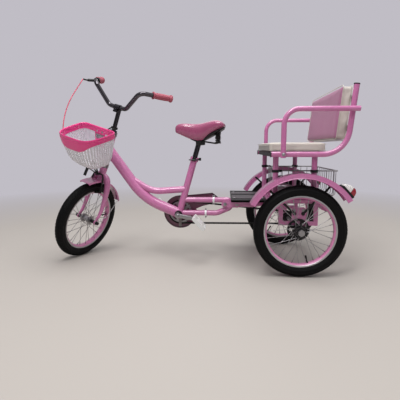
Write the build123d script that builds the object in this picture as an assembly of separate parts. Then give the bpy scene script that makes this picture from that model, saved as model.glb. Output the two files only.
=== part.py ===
from build123d import *
from math import atan2, cos, degrees, hypot, pi, radians, sin, sqrt, tan
import os

os.makedirs("parts", exist_ok=True)

# Frame of the model: +X forward, +Y to the rider's left, +Z up, millimetres.
# The origin is on the ground under the middle of the rear axle.

# Wheels
WHEEL_R = 205.0
TYRE_D = 52.0
REAR_TRACK = 578.0
RIM_FLANGE_R = WHEEL_R - 38.5
RIM_FLOOR_R = RIM_FLANGE_R - 12.0
RIM_INNER_R = RIM_FLOOR_R - 8.0
RIM_W = 34.0
RIM_WALL = 2.7
SPOKES = 28
SPOKE_D = 2.4
HUB_R = 14.0
HUB_FLANGE_R = 24.0
HUB_FLANGE_T = 4.0
HUB_FLANGE_Y = 22.0
HUB_HALF = 30.0
SEAT_GAP = 0.3
BEARING_GAP = 0.05

# Rear axle and the things that turn on it
AXLE_D = 17.0
AXLE_NUT_R = 13.0
AXLE_NUT_L = 12.0
DISC_R = 50.0
DISC_T = 6.0
DISC_Y = REAR_TRACK / 2 - HUB_HALF - 6.0
DISC_HOLES = 8
DISC_HOLE_R = 8.0
DISC_HOLE_RING = 34.0

# Chain drive
PITCH = 12.7
RING_TEETH = 30
SPROCKET_TEETH = 16
CHAIN_Y = -45.0
TOOTH_W = 3.0
PLATE_GAP = 4.6
PLATE_T = 1.2
PLATE_H = 9.0
ROLLER_D = 5.0

# Bottom bracket, cranks and pedals
BB_X, BB_Z = 569.0, 230.0
BB_SHELL_D = 45.0
BB_SHELL_W = 70.0
BB_CUP_R = 20.0
BB_CUP_W = 5.0
SPINDLE_D = 16.0
CRANK_L = 115.0
CRANK_ANGLE = 192.0
CRANK_Y = 66.0
CRANK_W = 22.0
CRANK_T = 12.0
PEDAL_Y = 80.0
PEDAL_W = 88.0
PEDAL_L = 78.0
PEDAL_T = 18.0
PEDAL_ANGLE = 227.0
PEDAL_PIN_D = 10.0

# Chain guard and what holds it
GUARD_Y = -54.0
GUARD_T = 2.0
GUARD_R = 88.0
GUARD_FLANGE = 10.0
GUARD_STRAP_W = 15.0
GUARD_STRAP_R = 78.0
UPPER_CLIP_X = 389.0
LOWER_CLIP_X = 430.0
CLIP_W = 10.0

# Main frame
DOWN_TUBE_D = 54.0
TOP_TUBE_D = 34.0
SEAT_TUBE_D = 34.0
LOOP_D = 28.0
HEAD_TUBE_D = 38.0
WALL = 2.5
SEAT_TOP_X, SEAT_TOP_Z = 487.0, 518.0
POST_D = 26.0
POST_TOP_Z = 598.0
LOOP_TOP_Z = 302.0
LOOP_LOW_Z = 233.0
LOOP_END_X = 300.0
PIVOT_Z = 283.0
PIVOT_X = (268.0, 330.0)

# Steering: the axis crosses the plane y = 0 at STEER_X, STEER_Z, and leans back
STEER_X, STEER_Z = 970.0, 450.0
RAKE = 17.1
TURN = 67.7
FORK_OFFSET = 25.0
STEERER_D = 25.4
HEAD_LOW, HEAD_HIGH = 45.0, 190.0
CUP_H = 22.0
CUP_D = HEAD_TUBE_D + 6.0
CROWN_Z = -20.0
CROWN_H = 22.0
LEG_Y = 58.0
LEG_D = 22.0
FRONT_AXLE_D = 10.0
STEM_D = 22.2
STEM_TOP = 334.0
STEM_REACH = 14.0

# Handlebar, in the fork's own axes: clamp, foot of the rise, upper bend, end
BAR_D = 22.2
BAR_CLAMP = (STEM_REACH, 0.0, STEM_TOP + 2.0)
BAR_FOOT = (18.0, 54.0, STEM_TOP + 5.0)
BAR_BEND = (63.0, 143.0, STEM_TOP + 97.0)
BAR_END = (-78.0, 231.0, STEM_TOP + 120.5)
GRIP_D = 29.0
GRIP_FLANGE_D = 37.0
GRIP_L = 100.0
LEVER_AT = 116.0

# Front basket, in axes leaned forward from the fork's
BASKET_TILT = 6.8
BASKET_BACK = 8.0
BASKET_HALF = 108.5
BASKET_DEPTH = 192.5
BASKET_RIM = 246.0
BASKET_SQUARE = 0.46
BASKET_FLOOR = 63.5
BASKET_WALL = 3.0
BAND_H = 12.0

# Rear frame and bench
POST_Y = REAR_TRACK / 2 - 53.0
POST_X = (106.0, -64.0)
BENCH_POST_D = 25.0
BEAM_Z = WHEEL_R + 131.0
BEAM_D = 30.0
HANGER_Z = WHEEL_R + 17.0
HANGER_X = 78.0
CARRIER_T = 10.0
BENCH_TUBE_D = 23.0
BENCH_Y = REAR_TRACK / 2 + 31.0
BENCH_Z = 543.0
BENCH_FRONT_X = 137.0
BACK_BEND_X = -172.0
BACK_TOP_X, BACK_TOP_Z = -201.0, 826.0
ARM_D = 22.0
ARM_Y = BENCH_Y + (BENCH_TUBE_D + ARM_D) / 2 + SEAT_GAP
ARM_X = 90.0
ARM_TOP_Z = 739.0
ARM_LOW_Z = 528.0
ARM_END_X = -212.0
CUSHION_X = (143.0, -104.0)
CUSHION_HALF_W = BENCH_Y - 45.0
CUSHION_H = 36.0
BOARD_T = 6.0
BACKREST_AT = (-168.0, 716.0)
BACKREST_LEAN = 5.6
BACKREST_HALF_W = BENCH_Y - 39.0
BACKREST_T = 44.0
BACKREST_H = 226.0
BACK_BAR_T = 6.0
BACK_BAR_H = 24.0
FOOTBOARD_X = (132.0, 302.0)
FOOTBOARD_HALF_W = 190.0
FOOTBOARD_T = 11.7
FOOTBOARD_Z = 317.3

# Rear fenders, lamps and the wire basket
FENDER_R = WHEEL_R + 45.0
FENDER_W = 66.0
FENDER_FROM, FENDER_ARC = 146.5, 118.5
LAMP_ANGLE = 137.5
LAMP_W = 56.0
STAY_D = 4.5
CARGO_X = (-172.0, 88.0)
CARGO_HALF_W = POST_Y - 30.0
CARGO_Z = (352.0, 467.0)
CARGO_RIM_D = 6.0
WIRE_D = 3.0


def save(name, shape):
    export_step(shape, "parts/" + name + ".step")


def rod(points, diameter, radii=None):
    """A round bar along straight runs, with an arc at each corner when radii are given."""
    if radii:
        path = FilletPolyline(*points, radius=radii)
    else:
        path = Polyline(*points)
    start = Plane(origin=path @ 0, z_dir=path % 0)
    return sweep(start * Circle(diameter / 2), path=path)


def y_disc(x, y0, y1, z, r, bore=0.0):
    """A round disc or bar with its axis along Y, from y0 to y1."""
    made = Cylinder(r, abs(y1 - y0))
    if bore:
        made -= Cylinder(bore, abs(y1 - y0) + 2)
    return Pos(x, (y0 + y1) / 2, z) * Rot(90, 0, 0) * made


def block(x0, x1, y0, y1, z0, z1):
    """A box between two corners."""
    return Pos((x0 + x1) / 2, (y0 + y1) / 2, (z0 + z1) / 2) * Box(
        abs(x1 - x0), abs(y1 - y0), abs(z1 - z0)
    )


def mirrored(shape):
    return mirror(shape, about=Plane.XZ)


# Wheels, built about the Y axis at the origin


def tyre():
    section_r = WHEEL_R - TYRE_D / 2
    cut_r = RIM_FLANGE_R + SEAT_GAP
    bead_half = RIM_W / 2 - RIM_WALL - SEAT_GAP
    floor = RIM_FLOOR_R + SEAT_GAP
    round_part = Pos(section_r, 0) * Circle(TYRE_D / 2)
    round_part &= Pos(cut_r + TYRE_D / 2, 0) * Rectangle(TYRE_D, TYRE_D + 2)
    top = cut_r + TYRE_D / 12
    bead = Pos((floor + top) / 2, 0) * Rectangle(top - floor, 2 * bead_half)
    return revolve(round_part + bead, axis=Axis.Y)


def rim():
    outer = RIM_W / 2
    inner = outer - RIM_WALL
    with BuildSketch() as profile:
        with BuildLine():
            Polyline(
                (RIM_INNER_R, -outer * 0.55),
                (RIM_FLOOR_R - 1, -outer),
                (RIM_FLANGE_R, -outer),
                (RIM_FLANGE_R, -inner),
                (RIM_FLOOR_R, -inner),
                (RIM_FLOOR_R, inner),
                (RIM_FLANGE_R, inner),
                (RIM_FLANGE_R, outer),
                (RIM_FLOOR_R - 1, outer),
                (RIM_INNER_R, outer * 0.55),
                close=True,
            )
        make_face()
    return revolve(profile.sketch, axis=Axis.Y)


def wheel(axle_d, half=HUB_HALF):
    """Rim, crossed spokes and hub as one wheel with a bore for its axle."""
    made = rim() + y_disc(0, -half, half, 0, HUB_R)
    for side in (-1, 1):
        y_in = side * (HUB_FLANGE_Y - HUB_FLANGE_T / 2)
        y_out = side * (HUB_FLANGE_Y + HUB_FLANGE_T / 2)
        made += y_disc(0, y_in, y_out, 0, HUB_FLANGE_R)
    for i in range(SPOKES):
        side = 1 if i % 2 == 0 else -1
        lead = 62.0 if i % 4 < 2 else -62.0
        a_rim = radians(360.0 * i / SPOKES)
        a_hub = a_rim + radians(lead)
        low = (HUB_FLANGE_R - 4, RIM_INNER_R + 2)
        p = (low[0] * cos(a_hub), side * HUB_FLANGE_Y, low[0] * sin(a_hub))
        q = (low[1] * cos(a_rim), side * 4.0, low[1] * sin(a_rim))
        made += rod([p, q], SPOKE_D)
    return made - y_disc(0, -half - 1, half + 1, 0, axle_d / 2 + BEARING_GAP)


def rear_wheels():
    y = REAR_TRACK / 2
    for side, name in ((1, "left"), (-1, "right")):
        place = Pos(0, side * y, WHEEL_R)
        save("tyre_" + name, place * tyre())
        save("wheel_" + name, place * wheel(AXLE_D))


def rear_axle():
    end = REAR_TRACK / 2 + HUB_HALF + AXLE_NUT_L
    axle = y_disc(0, -end, end, WHEEL_R, AXLE_D / 2)
    for side in (-1, 1):
        inner = side * (REAR_TRACK / 2 + HUB_HALF + SEAT_GAP)
        nut = y_disc(0, inner, side * (end + 2), WHEEL_R, AXLE_NUT_R)
        axle += nut
    save("rear_axle", axle)
    disc = y_disc(0, DISC_Y - DISC_T / 2, DISC_Y + DISC_T / 2, WHEEL_R, DISC_R)
    for i in range(DISC_HOLES):
        a = 2 * pi * i / DISC_HOLES
        x, z = DISC_HOLE_RING * cos(a), DISC_HOLE_RING * sin(a)
        disc -= y_disc(x, DISC_Y - DISC_T, DISC_Y + DISC_T, WHEEL_R + z, DISC_HOLE_R)
    inner, outer = POST_Y + CARRIER_T + 1, REAR_TRACK / 2 - HUB_HALF - SEAT_GAP
    disc += y_disc(0, inner, outer, WHEEL_R, HUB_R + 4)
    disc -= y_disc(0, inner - 1, outer + 1, WHEEL_R, AXLE_D / 2 + BEARING_GAP)
    save("hub_disc", disc)


# Chain drive


def pitch_r(teeth):
    return PITCH / (2 * sin(pi / teeth))


def toothed(teeth, bore):
    """A thin toothed plate about the Y axis at the origin."""
    r = pitch_r(teeth)
    root = r - ROLLER_D / 2 - 0.6
    plate = Circle(root)
    for i in range(teeth):
        a = 360.0 * (i + 0.5) / teeth
        tooth = Pos(root + 1, 0) * Trapezoid(PITCH - ROLLER_D - 1.4, 6.4, 68, rotation=-90)
        plate += Rot(0, 0, a) * tooth
    made = extrude(plate, amount=TOOTH_W / 2, both=True)
    if bore:
        made -= Cylinder(bore, 30)
    return Rot(90, 0, 0) * made


def loop_outline(offset):
    """The chain's path in the plane of its rings, moved outwards by offset."""
    r_ring = pitch_r(RING_TEETH) + offset
    r_spr = pitch_r(SPROCKET_TEETH) + offset
    dx, dz = BB_X, BB_Z - WHEEL_R
    span = hypot(dx, dz)
    slope = atan2(dz, dx)
    lean = atan2(r_ring - r_spr, sqrt(span**2 - (r_ring - r_spr) ** 2))
    up = slope + pi / 2 + lean
    low = slope - pi / 2 - lean
    ends = {}
    for key, angle in (("up", up), ("low", low)):
        ends[key] = (
            (r_spr * cos(angle), WHEEL_R + r_spr * sin(angle)),
            (BB_X + r_ring * cos(angle), BB_Z + r_ring * sin(angle)),
        )
    front = (BB_X + r_ring * cos(slope), BB_Z + r_ring * sin(slope))
    back = (-r_spr * cos(slope), WHEEL_R - r_spr * sin(slope))
    return ends, front, back


def loop_face(offset):
    ends, front, back = loop_outline(offset)
    with BuildSketch() as face:
        with BuildLine():
            Line(ends["up"][0], ends["up"][1])
            ThreePointArc(ends["up"][1], front, ends["low"][1])
            Line(ends["low"][1], ends["low"][0])
            ThreePointArc(ends["low"][0], back, ends["up"][0])
        make_face()
    return face.sketch


def xz_plate(face, y0, y1):
    """Turns a sketch drawn with x and z as its two axes into a plate from y0 to y1."""
    made = extrude(face, amount=abs(y1 - y0))
    return Pos(0, max(y0, y1), 0) * Rot(90, 0, 0) * made


def chain():
    ring = loop_face(PLATE_H / 2) - loop_face(-PLATE_H / 2)
    made = None
    for side in (-1, 1):
        y0 = CHAIN_Y + side * PLATE_GAP / 2
        y1 = y0 + side * PLATE_T
        strip = xz_plate(ring, y0, y1)
        made = strip if made is None else made + strip
    ends, _, _ = loop_outline(0.0)
    half = PLATE_GAP / 2 + PLATE_T / 2
    for run in ("up", "low"):
        (x0, z0), (x1, z1) = ends[run]
        length = hypot(x1 - x0, z1 - z0)
        count = int(length / PITCH)
        for i in range(3, count - 2):
            t = i * PITCH / length
            x, z = x0 + (x1 - x0) * t, z0 + (z1 - z0) * t
            made += y_disc(x, CHAIN_Y - half, CHAIN_Y + half, z, ROLLER_D / 2)
    save("chain", made)


def sprocket():
    made = Pos(0, CHAIN_Y, WHEEL_R) * toothed(SPROCKET_TEETH, 0)
    made += y_disc(0, CHAIN_Y - 12, CHAIN_Y + 12, WHEEL_R, 20)
    made -= y_disc(0, CHAIN_Y - 20, CHAIN_Y + 20, WHEEL_R, AXLE_D / 2 + BEARING_GAP)
    save("sprocket", made)


def crank_end(angle, side):
    a = radians(angle)
    return BB_X + side * CRANK_L * cos(a), BB_Z + side * CRANK_L * sin(a)


def crankset():
    ring = toothed(RING_TEETH, 0)
    for i in range(5):
        a = radians(72 * i + 36)
        ring -= y_disc(36 * cos(a), -9, 9, 36 * sin(a), 13)
    made = Pos(BB_X, CHAIN_Y, BB_Z) * ring
    inner = CRANK_Y - CRANK_T / 2
    made += y_disc(BB_X, -inner - CRANK_T, inner + CRANK_T, BB_Z, SPINDLE_D / 2)
    made += y_disc(BB_X, CHAIN_Y - TOOTH_W / 2, -inner, BB_Z, 18)
    for side in (1, -1):
        x, z = crank_end(CRANK_ANGLE, side)
        y0, y1 = side * inner, side * (inner + CRANK_T)
        mid = Pos((x + BB_X) / 2, (z + BB_Z) / 2)
        turn = Rot(0, 0, degrees(atan2(z - BB_Z, x - BB_X)))
        face = mid * turn * SlotCenterToCenter(CRANK_L, CRANK_W)
        arm = xz_plate(face, y0, y1)
        made += arm
        made -= y_disc(x, y0 - side, y1 + side, z, PEDAL_PIN_D / 2 + BEARING_GAP)
    save("crankset", made)


def pedal(side):
    x, z = crank_end(CRANK_ANGLE, side)
    y0 = side * PEDAL_Y
    y1 = side * (PEDAL_Y + PEDAL_W)
    mid_y = (y0 + y1) / 2
    body = Box(PEDAL_L, PEDAL_W, PEDAL_T)
    body -= Pos(PEDAL_L * 0.28, 0, 0) * Box(PEDAL_L * 0.24, PEDAL_W - 26, PEDAL_T + 2)
    body -= Pos(-PEDAL_L * 0.28, 0, 0) * Box(PEDAL_L * 0.24, PEDAL_W - 26, PEDAL_T + 2)
    made = Pos(x, mid_y, z) * Rot(0, -PEDAL_ANGLE, 0) * body
    inner = side * (CRANK_Y - CRANK_T / 2 - 1)
    made += y_disc(x, inner, y0 + side * 5, z, PEDAL_PIN_D / 2)
    return made


def pedals():
    save("pedal_left", pedal(1))
    save("pedal_right", pedal(-1))


# Main frame


def bb_shell():
    half = BB_SHELL_W / 2
    shell = y_disc(BB_X, -half, half, BB_Z, BB_SHELL_D / 2)
    shell += y_disc(BB_X, -half - BB_CUP_W, half + BB_CUP_W, BB_Z, BB_CUP_R)
    return shell - y_disc(BB_X, -2 * half, 2 * half, BB_Z, SPINDLE_D / 2 + BEARING_GAP)


def seat_x(z):
    """Where the seat tube's centre line is at height z."""
    return BB_X + (SEAT_TOP_X - BB_X) * (z - BB_Z) / (SEAT_TOP_Z - BB_Z)


def seat_line(z0, z1):
    return [(seat_x(z0), 0, z0), (seat_x(z1), 0, z1)]


def steer_point(w):
    """A point on the steering axis, w along it from its reference point."""
    return (STEER_X - w * sin(radians(RAKE)), 0.0, STEER_Z + w * cos(radians(RAKE)))


def main_frame():
    save("bottom_bracket", bb_shell())
    half = BB_SHELL_W / 2
    solid_shell = y_disc(BB_X, -half, half, BB_Z, BB_SHELL_D / 2)

    head = rod([steer_point(HEAD_LOW), steer_point(HEAD_HIGH)], HEAD_TUBE_D)
    head_core = rod([steer_point(HEAD_LOW - 1), steer_point(HEAD_HIGH + 1)], HEAD_TUBE_D - 2 * WALL)
    save("head_tube", head - head_core)

    full_down = rod([(934, 0, 562), (752, 0, 306), (BB_X, 0, BB_Z)], DOWN_TUBE_D, 330)
    down = full_down - head - solid_shell
    down = max(down.solids(), key=lambda s: s.volume)
    save("down_tube", down)

    seat_solid = rod(seat_line(BB_Z, SEAT_TOP_Z), SEAT_TUBE_D)
    bore = rod(seat_line(SEAT_TOP_Z - 120, SEAT_TOP_Z + 5), POST_D + 2 * BEARING_GAP)
    seat_tube = seat_solid - solid_shell - full_down - bore
    seat_tube = max(seat_tube.solids(), key=lambda s: s.volume)
    save("seat_tube", seat_tube)

    top = rod([(812, 0, 406), (712, 0, 344), (seat_x(358), 0, 358)], TOP_TUBE_D, 150)
    top = top - full_down - seat_solid
    top = max(top.solids(), key=lambda s: s.volume)
    save("top_tube", top)

    loop = rod(
        [(BB_X - 20, 0, LOOP_TOP_Z), (LOOP_END_X, 0, LOOP_TOP_Z), (LOOP_END_X + 4, 0, 262),
         (372, 0, LOOP_LOW_Z), (BB_X - 2, 0, LOOP_LOW_Z)], LOOP_D, [17, 18, 60])
    loop = loop - seat_solid - solid_shell - full_down
    loop = max(loop.solids(), key=lambda s: s.volume)
    save("rear_loop", loop)

    save("seat_post", rod(seat_line(SEAT_TOP_Z - 100, POST_TOP_Z), POST_D))

    clamp = rod(seat_line(SEAT_TOP_Z - 16, SEAT_TOP_Z + 4), SEAT_TUBE_D + 8)
    lug_x, lug_z = SEAT_TOP_X - SEAT_TUBE_D / 2 - 7, SEAT_TOP_Z - 6
    clamp += Pos(lug_x, 0, lug_z) * Box(18, 16, 14)
    clamp += y_disc(lug_x, -14, 22, lug_z, 4)
    clamp += rod([(lug_x, 20, lug_z), (lug_x + 14, 24, lug_z - 4), (lug_x + 52, 24, lug_z - 2)], 6, [6])
    clamp -= seat_solid
    clamp -= rod(seat_line(SEAT_TOP_Z - 30, SEAT_TOP_Z + 20), POST_D + 0.2)
    clamp = max(clamp.solids(), key=lambda s: s.volume)
    save("seat_clamp", clamp)


SADDLE_SECTIONS = (
    # x, half width, top z, low z, corner radius
    (580.0, 9.0, 680.0, 661.0, 7.0),
    (572.0, 17.0, 687.0, 650.0, 11.0),
    (540.0, 26.0, 694.0, 634.0, 16.0),
    (470.0, 42.0, 692.0, 616.0, 22.0),
    (410.0, 72.0, 700.0, 622.0, 30.0),
    (360.0, 92.0, 707.0, 646.0, 28.0),
    (333.0, 74.0, 693.0, 662.0, 14.0),
)
RAIL_D = 7.0
SPRING_R = 14.0


def saddle():
    faces = []
    for x, half, top, low, r in SADDLE_SECTIONS:
        plane = Plane(origin=(x, 0, (top + low) / 2), x_dir=(0, 1, 0), z_dir=(1, 0, 0))
        faces.append(plane * RectangleRounded(2 * half, top - low, r * 0.8))
    body = loft(faces)
    save("saddle", body)

    x = seat_x(POST_TOP_Z - 12)
    rail_z = POST_TOP_Z + 4
    under = Pos(x - 3, 0, POST_TOP_Z) * Box(42, 46, 30)
    for side in (-1, 1):
        under += rod([(x + 62, side * 14, 630), (x + 38, side * 18, rail_z), (x - 42, side * 22, rail_z),
                      (x - 96, side * 46, 620)], RAIL_D, [12, 20])
        under += Pos(x - 94, side * 46, 634) * Cylinder(SPRING_R, 36)
    under -= body
    under -= rod(seat_line(SEAT_TOP_Z, POST_TOP_Z), POST_D)
    save("saddle_frame", under)


def guard_face():
    plate = Pos(BB_X, BB_Z) * Circle(GUARD_R)
    tail = Polygon((BB_X - 10, BB_Z + GUARD_R - 3), (352, 331), (350, 311), (410, 268),
                   (BB_X - 60, BB_Z + 40), align=None)
    return plate + tail


def chain_guard():
    face = guard_face()
    made = xz_plate(face - Pos(BB_X, BB_Z) * Circle(24), GUARD_Y - GUARD_T, GUARD_Y)
    edge = face - offset(face, amount=-2)
    chain_room = Pos(BB_X - 165, BB_Z - 5) * Rectangle(230, 150)
    made += xz_plate(edge - chain_room, GUARD_Y, GUARD_Y + GUARD_FLANGE)
    save("chain_guard", made)

    reach = GUARD_Y + SEAT_GAP
    face_y = -BB_SHELL_W / 2 - 0.3
    half = GUARD_STRAP_W / 2
    strap = block(BB_X - half, BB_X + half, face_y - 3, face_y, BB_Z - GUARD_STRAP_R, BB_Z + GUARD_STRAP_R)
    strap += y_disc(BB_X, face_y - 3, face_y, BB_Z, BB_CUP_R + 7)
    for side in (1, -1):
        z = BB_Z + side * (GUARD_STRAP_R - 1.5)
        strap += block(BB_X - half, BB_X + half, reach, face_y - 1, z - 1.5, z + 1.5)
    strap -= y_disc(BB_X, -80, 0, BB_Z, BB_CUP_R + BEARING_GAP)
    upper = Pos(UPPER_CLIP_X, 0, LOOP_TOP_Z) * Rot(0, 90, 0) * Cylinder(LOOP_D / 2 + 3, CLIP_W)
    upper += block(UPPER_CLIP_X - CLIP_W / 2, UPPER_CLIP_X + CLIP_W / 2, reach, -8,
                   LOOP_TOP_Z + LOOP_D / 2 - 1, LOOP_TOP_Z + LOOP_D / 2 + 3)
    upper += Pos(UPPER_CLIP_X, 0, LOOP_TOP_Z - LOOP_D / 2 - 5) * Box(CLIP_W, 8, 10)
    upper += Pos(UPPER_CLIP_X, 0, LOOP_TOP_Z + LOOP_D / 2 + 4) * Box(CLIP_W, 8, 8)
    upper -= Pos(UPPER_CLIP_X, 0, LOOP_TOP_Z) * Rot(0, 90, 0) * Cylinder(LOOP_D / 2 + 0.1, 40)
    lower = Pos(LOWER_CLIP_X, 0, LOOP_LOW_Z) * Rot(0, 90, 0) * Cylinder(LOOP_D / 2 + 3, CLIP_W)
    for side in (1, -1):
        lower += Pos(LOWER_CLIP_X, 0, LOOP_LOW_Z + side * (LOOP_D / 2 + 4)) * Box(CLIP_W, 8, 8)
    lower -= Pos(LOWER_CLIP_X, 0, LOOP_LOW_Z) * Rot(0, 90, 0) * Cylinder(LOOP_D / 2 + 0.1, 40)
    save("guard_mounts", Compound(children=[strap, upper, lower]))


# Rear frame and bench


def rear_frame():
    made = None
    hang_x = (HANGER_X - 9, HANGER_X + 9)
    for side in (1, -1):
        y = side * POST_Y
        beam = rod([(126, y, BEAM_Z - 40), (70, y, BEAM_Z), (-75, y, BEAM_Z), (-131, y, BEAM_Z - 40)],
                   BEAM_D, [40, 40])
        hang = block(-hang_x[1], -hang_x[0], y - 9, y + 9, HANGER_Z + 14, BEAM_Z - 6)
        hang += block(hang_x[0], hang_x[1], y - 9, y + 9, HANGER_Z + 14, BEAM_Z - 6)
        hang += block(-hang_x[1], hang_x[1], y - 9, y + 9, HANGER_Z, HANGER_Z + 18)
        bearing = y_disc(0, y - CARRIER_T, y + CARRIER_T, WHEEL_R, 24)
        bearing += block(-26, 26, y - CARRIER_T, y + CARRIER_T, WHEEL_R, HANGER_Z + 4)
        plate = Pos(0, HANGER_Z + 46) * RectangleRounded(60, 76, 10)
        one = beam + hang + bearing + xz_plate(plate, y + side * 9, y + side * 13)
        made = one if made is None else made + one
    for x in (110, -112):
        made += y_disc(x, -POST_Y, POST_Y, BEAM_Z - 31, 14)
    tongue_end = LOOP_END_X - LOOP_D / 2 - 1
    made += rod([(110, 0, BEAM_Z - 44), (190, 0, PIVOT_Z - 4), (tongue_end, 0, PIVOT_Z)], LOOP_D, [120])
    made -= y_disc(PIVOT_X[0], -30, 30, PIVOT_Z, 5)
    for y in (-FOOTBOARD_HALF_W * 0.63, FOOTBOARD_HALF_W * 0.63):
        made += block(108, FOOTBOARD_X[1] - 6, y - 9, y + 9, FOOTBOARD_Z - 18.3, FOOTBOARD_Z - 0.3)
    made -= y_disc(0, -2 * POST_Y, 2 * POST_Y, WHEEL_R, AXLE_D / 2 + BEARING_GAP)
    save("rear_frame", made)

    plates = None
    for side in (1, -1):
        face = Pos(sum(PIVOT_X) / 2, PIVOT_Z) * SlotCenterToCenter(PIVOT_X[1] - PIVOT_X[0], 36)
        plate = xz_plate(face, side * (LOOP_D / 2 + 0.2), side * (LOOP_D / 2 + 5))
        plates = plate if plates is None else plates + plate
    for x in PIVOT_X:
        plates += y_disc(x, -25, 25, PIVOT_Z, 4.8)
    save("coupling", plates)
    return made


def side_tube(side):
    y = side * BENCH_Y
    path = [(BENCH_FRONT_X, y, BENCH_Z), (BACK_BEND_X, y, BENCH_Z), (BACK_TOP_X, y, BACK_TOP_Z)]
    return rod(path, BENCH_TUBE_D, [105])


def bench(carrier):
    posts = []
    for x, low in zip(POST_X, (BEAM_Z - 31, BEAM_Z - 6)):
        for side in (1, -1):
            post = rod([(x, side * POST_Y, low), (x, side * POST_Y, BENCH_Z - 11.3)], BENCH_POST_D)
            posts.append(max((post - carrier).solids(), key=lambda s: s.volume))
    save("bench_posts", Compound(children=posts))

    save("bench_sides", side_tube(1) + side_tube(-1))
    arms = None
    for side in (1, -1):
        y = side * ARM_Y
        path = [(ARM_X, y, ARM_LOW_Z), (ARM_X, y, ARM_TOP_Z - ARM_D / 2), (ARM_END_X, y, ARM_TOP_Z - ARM_D / 2)]
        arm = rod(path, ARM_D, [63])
        arms = arm if arms is None else arms + arm
    save("armrests", arms)

    inner = BENCH_Y - BENCH_TUBE_D / 2 - 0.1
    bars = []
    for x in (BENCH_FRONT_X - 14, POST_X[0] - 10, POST_X[1]):
        bars.append(block(x - 10, x + 10, -inner, inner, BENCH_Z - 11, BENCH_Z + 6))
    bars = [bars[0] + bars[1] + block(POST_X[0], BENCH_FRONT_X - 14, -inner, inner, BENCH_Z - 11, BENCH_Z - 8),
            bars[2]]
    place = Pos(BACKREST_AT[0], 0, BACKREST_AT[1]) * Rot(0, -BACKREST_LEAN, 0)
    bar_x = -BACKREST_T / 2 - SEAT_GAP - BACK_BAR_T / 2
    for z in (BACKREST_H * 0.27, -BACKREST_H * 0.27):
        bars.append(place * Pos(bar_x, 0, z) * Box(BACK_BAR_T, 2 * inner - 0.6, BACK_BAR_H))
    save("bench_crossbars", Compound(children=bars))

    x0, x1 = CUSHION_X
    board_z = BENCH_Z + 6 + SEAT_GAP
    save("bench_board", block(x0 - 2, x1 + 2, -CUSHION_HALF_W + 4, CUSHION_HALF_W - 4, board_z, board_z + BOARD_T))
    z0 = board_z + BOARD_T + SEAT_GAP
    cushion = block(x0, x1, -CUSHION_HALF_W, CUSHION_HALF_W, z0, z0 + CUSHION_H)
    save("bench_cushion", fillet(cushion.edges().filter_by(Axis.Z), 16))

    pad = Box(BACKREST_T, 2 * BACKREST_HALF_W, BACKREST_H)
    pad = fillet(pad.edges().filter_by(Axis.X), 14)
    save("backrest", place * pad)


def end_caps():
    """Plastic caps on the open ends of the bench's side tubes."""
    caps = []
    r = BENCH_TUBE_D / 2
    up = Vector(BACK_TOP_X - BACK_BEND_X, 0, BACK_TOP_Z - BENCH_Z).normalized()
    for side in (1, -1):
        top = Vector(BACK_TOP_X, side * BENCH_Y, BACK_TOP_Z)
        for at, way in ((top, up), (Vector(BENCH_FRONT_X, side * BENCH_Y, BENCH_Z), Vector(1, 0, 0))):
            cap = rod([tuple(at + way * 0.2), tuple(at + way * 4)], 2 * r + 2)
            caps.append(cap)
    save("end_caps", Compound(children=caps))


def footboard():
    x0, x1 = FOOTBOARD_X
    y = FOOTBOARD_HALF_W
    save("footboard", block(x0, x1, -y, y, FOOTBOARD_Z, FOOTBOARD_Z + FOOTBOARD_T))


FENDER_X, FENDER_Z = -2.0, WHEEL_R + 5.0


def fender_point(angle, r):
    a = radians(angle)
    return FENDER_X + r * cos(a), FENDER_Z + r * sin(a)


def fenders():
    r, width = FENDER_R, FENDER_W
    bands, stays, lamps = None, [], []
    profile = Pos(r, 0) * Rectangle(3, width)
    for side in (1, -1):
        profile += Pos(r - 5, side * (width / 2 - 1.5)) * Rectangle(10, 3)
    band = Rot(0, -FENDER_FROM, 0) * revolve(profile, axis=Axis.Y, revolution_arc=FENDER_ARC)
    lamp_face = Polygon((-32, 0.4), (32, 0.4), (33, 7), (22, 23), (9, 29), (-8, 26), (-29, 10), align=None)
    for side in (1, -1):
        made = Pos(FENDER_X, side * REAR_TRACK / 2, FENDER_Z) * band
        bands = made if bands is None else bands + made
        y = side * (POST_Y + (BEAM_D + STAY_D) / 2 + SEAT_GAP)
        plate_y = side * (POST_Y + 13.2)
        for angle, foot_x in ((60, 18), (125, -18)):
            x, z = fender_point(angle, r - 4)
            foot_z = HANGER_Z + 56
            stay = rod([(x, y, z), (foot_x, y, foot_z)], STAY_D)
            stay += y_disc(foot_x, plate_y, y + side * 2, foot_z, 8)
            stays.append(stay)
        x, z = fender_point(LAMP_ANGLE, r + 1.5)
        lamp = extrude(lamp_face, amount=LAMP_W / 2, both=True)
        lamp = Rot(90, 0, 0) * lamp
        lamps.append(Pos(x, side * REAR_TRACK / 2, z) * Rot(0, 90 - LAMP_ANGLE, 0) * Rot(0, 0, 180) * lamp)
    save("rear_fenders", bands)
    save("fender_stays", Compound(children=stays))
    save("tail_lamps", Compound(children=lamps))


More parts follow.
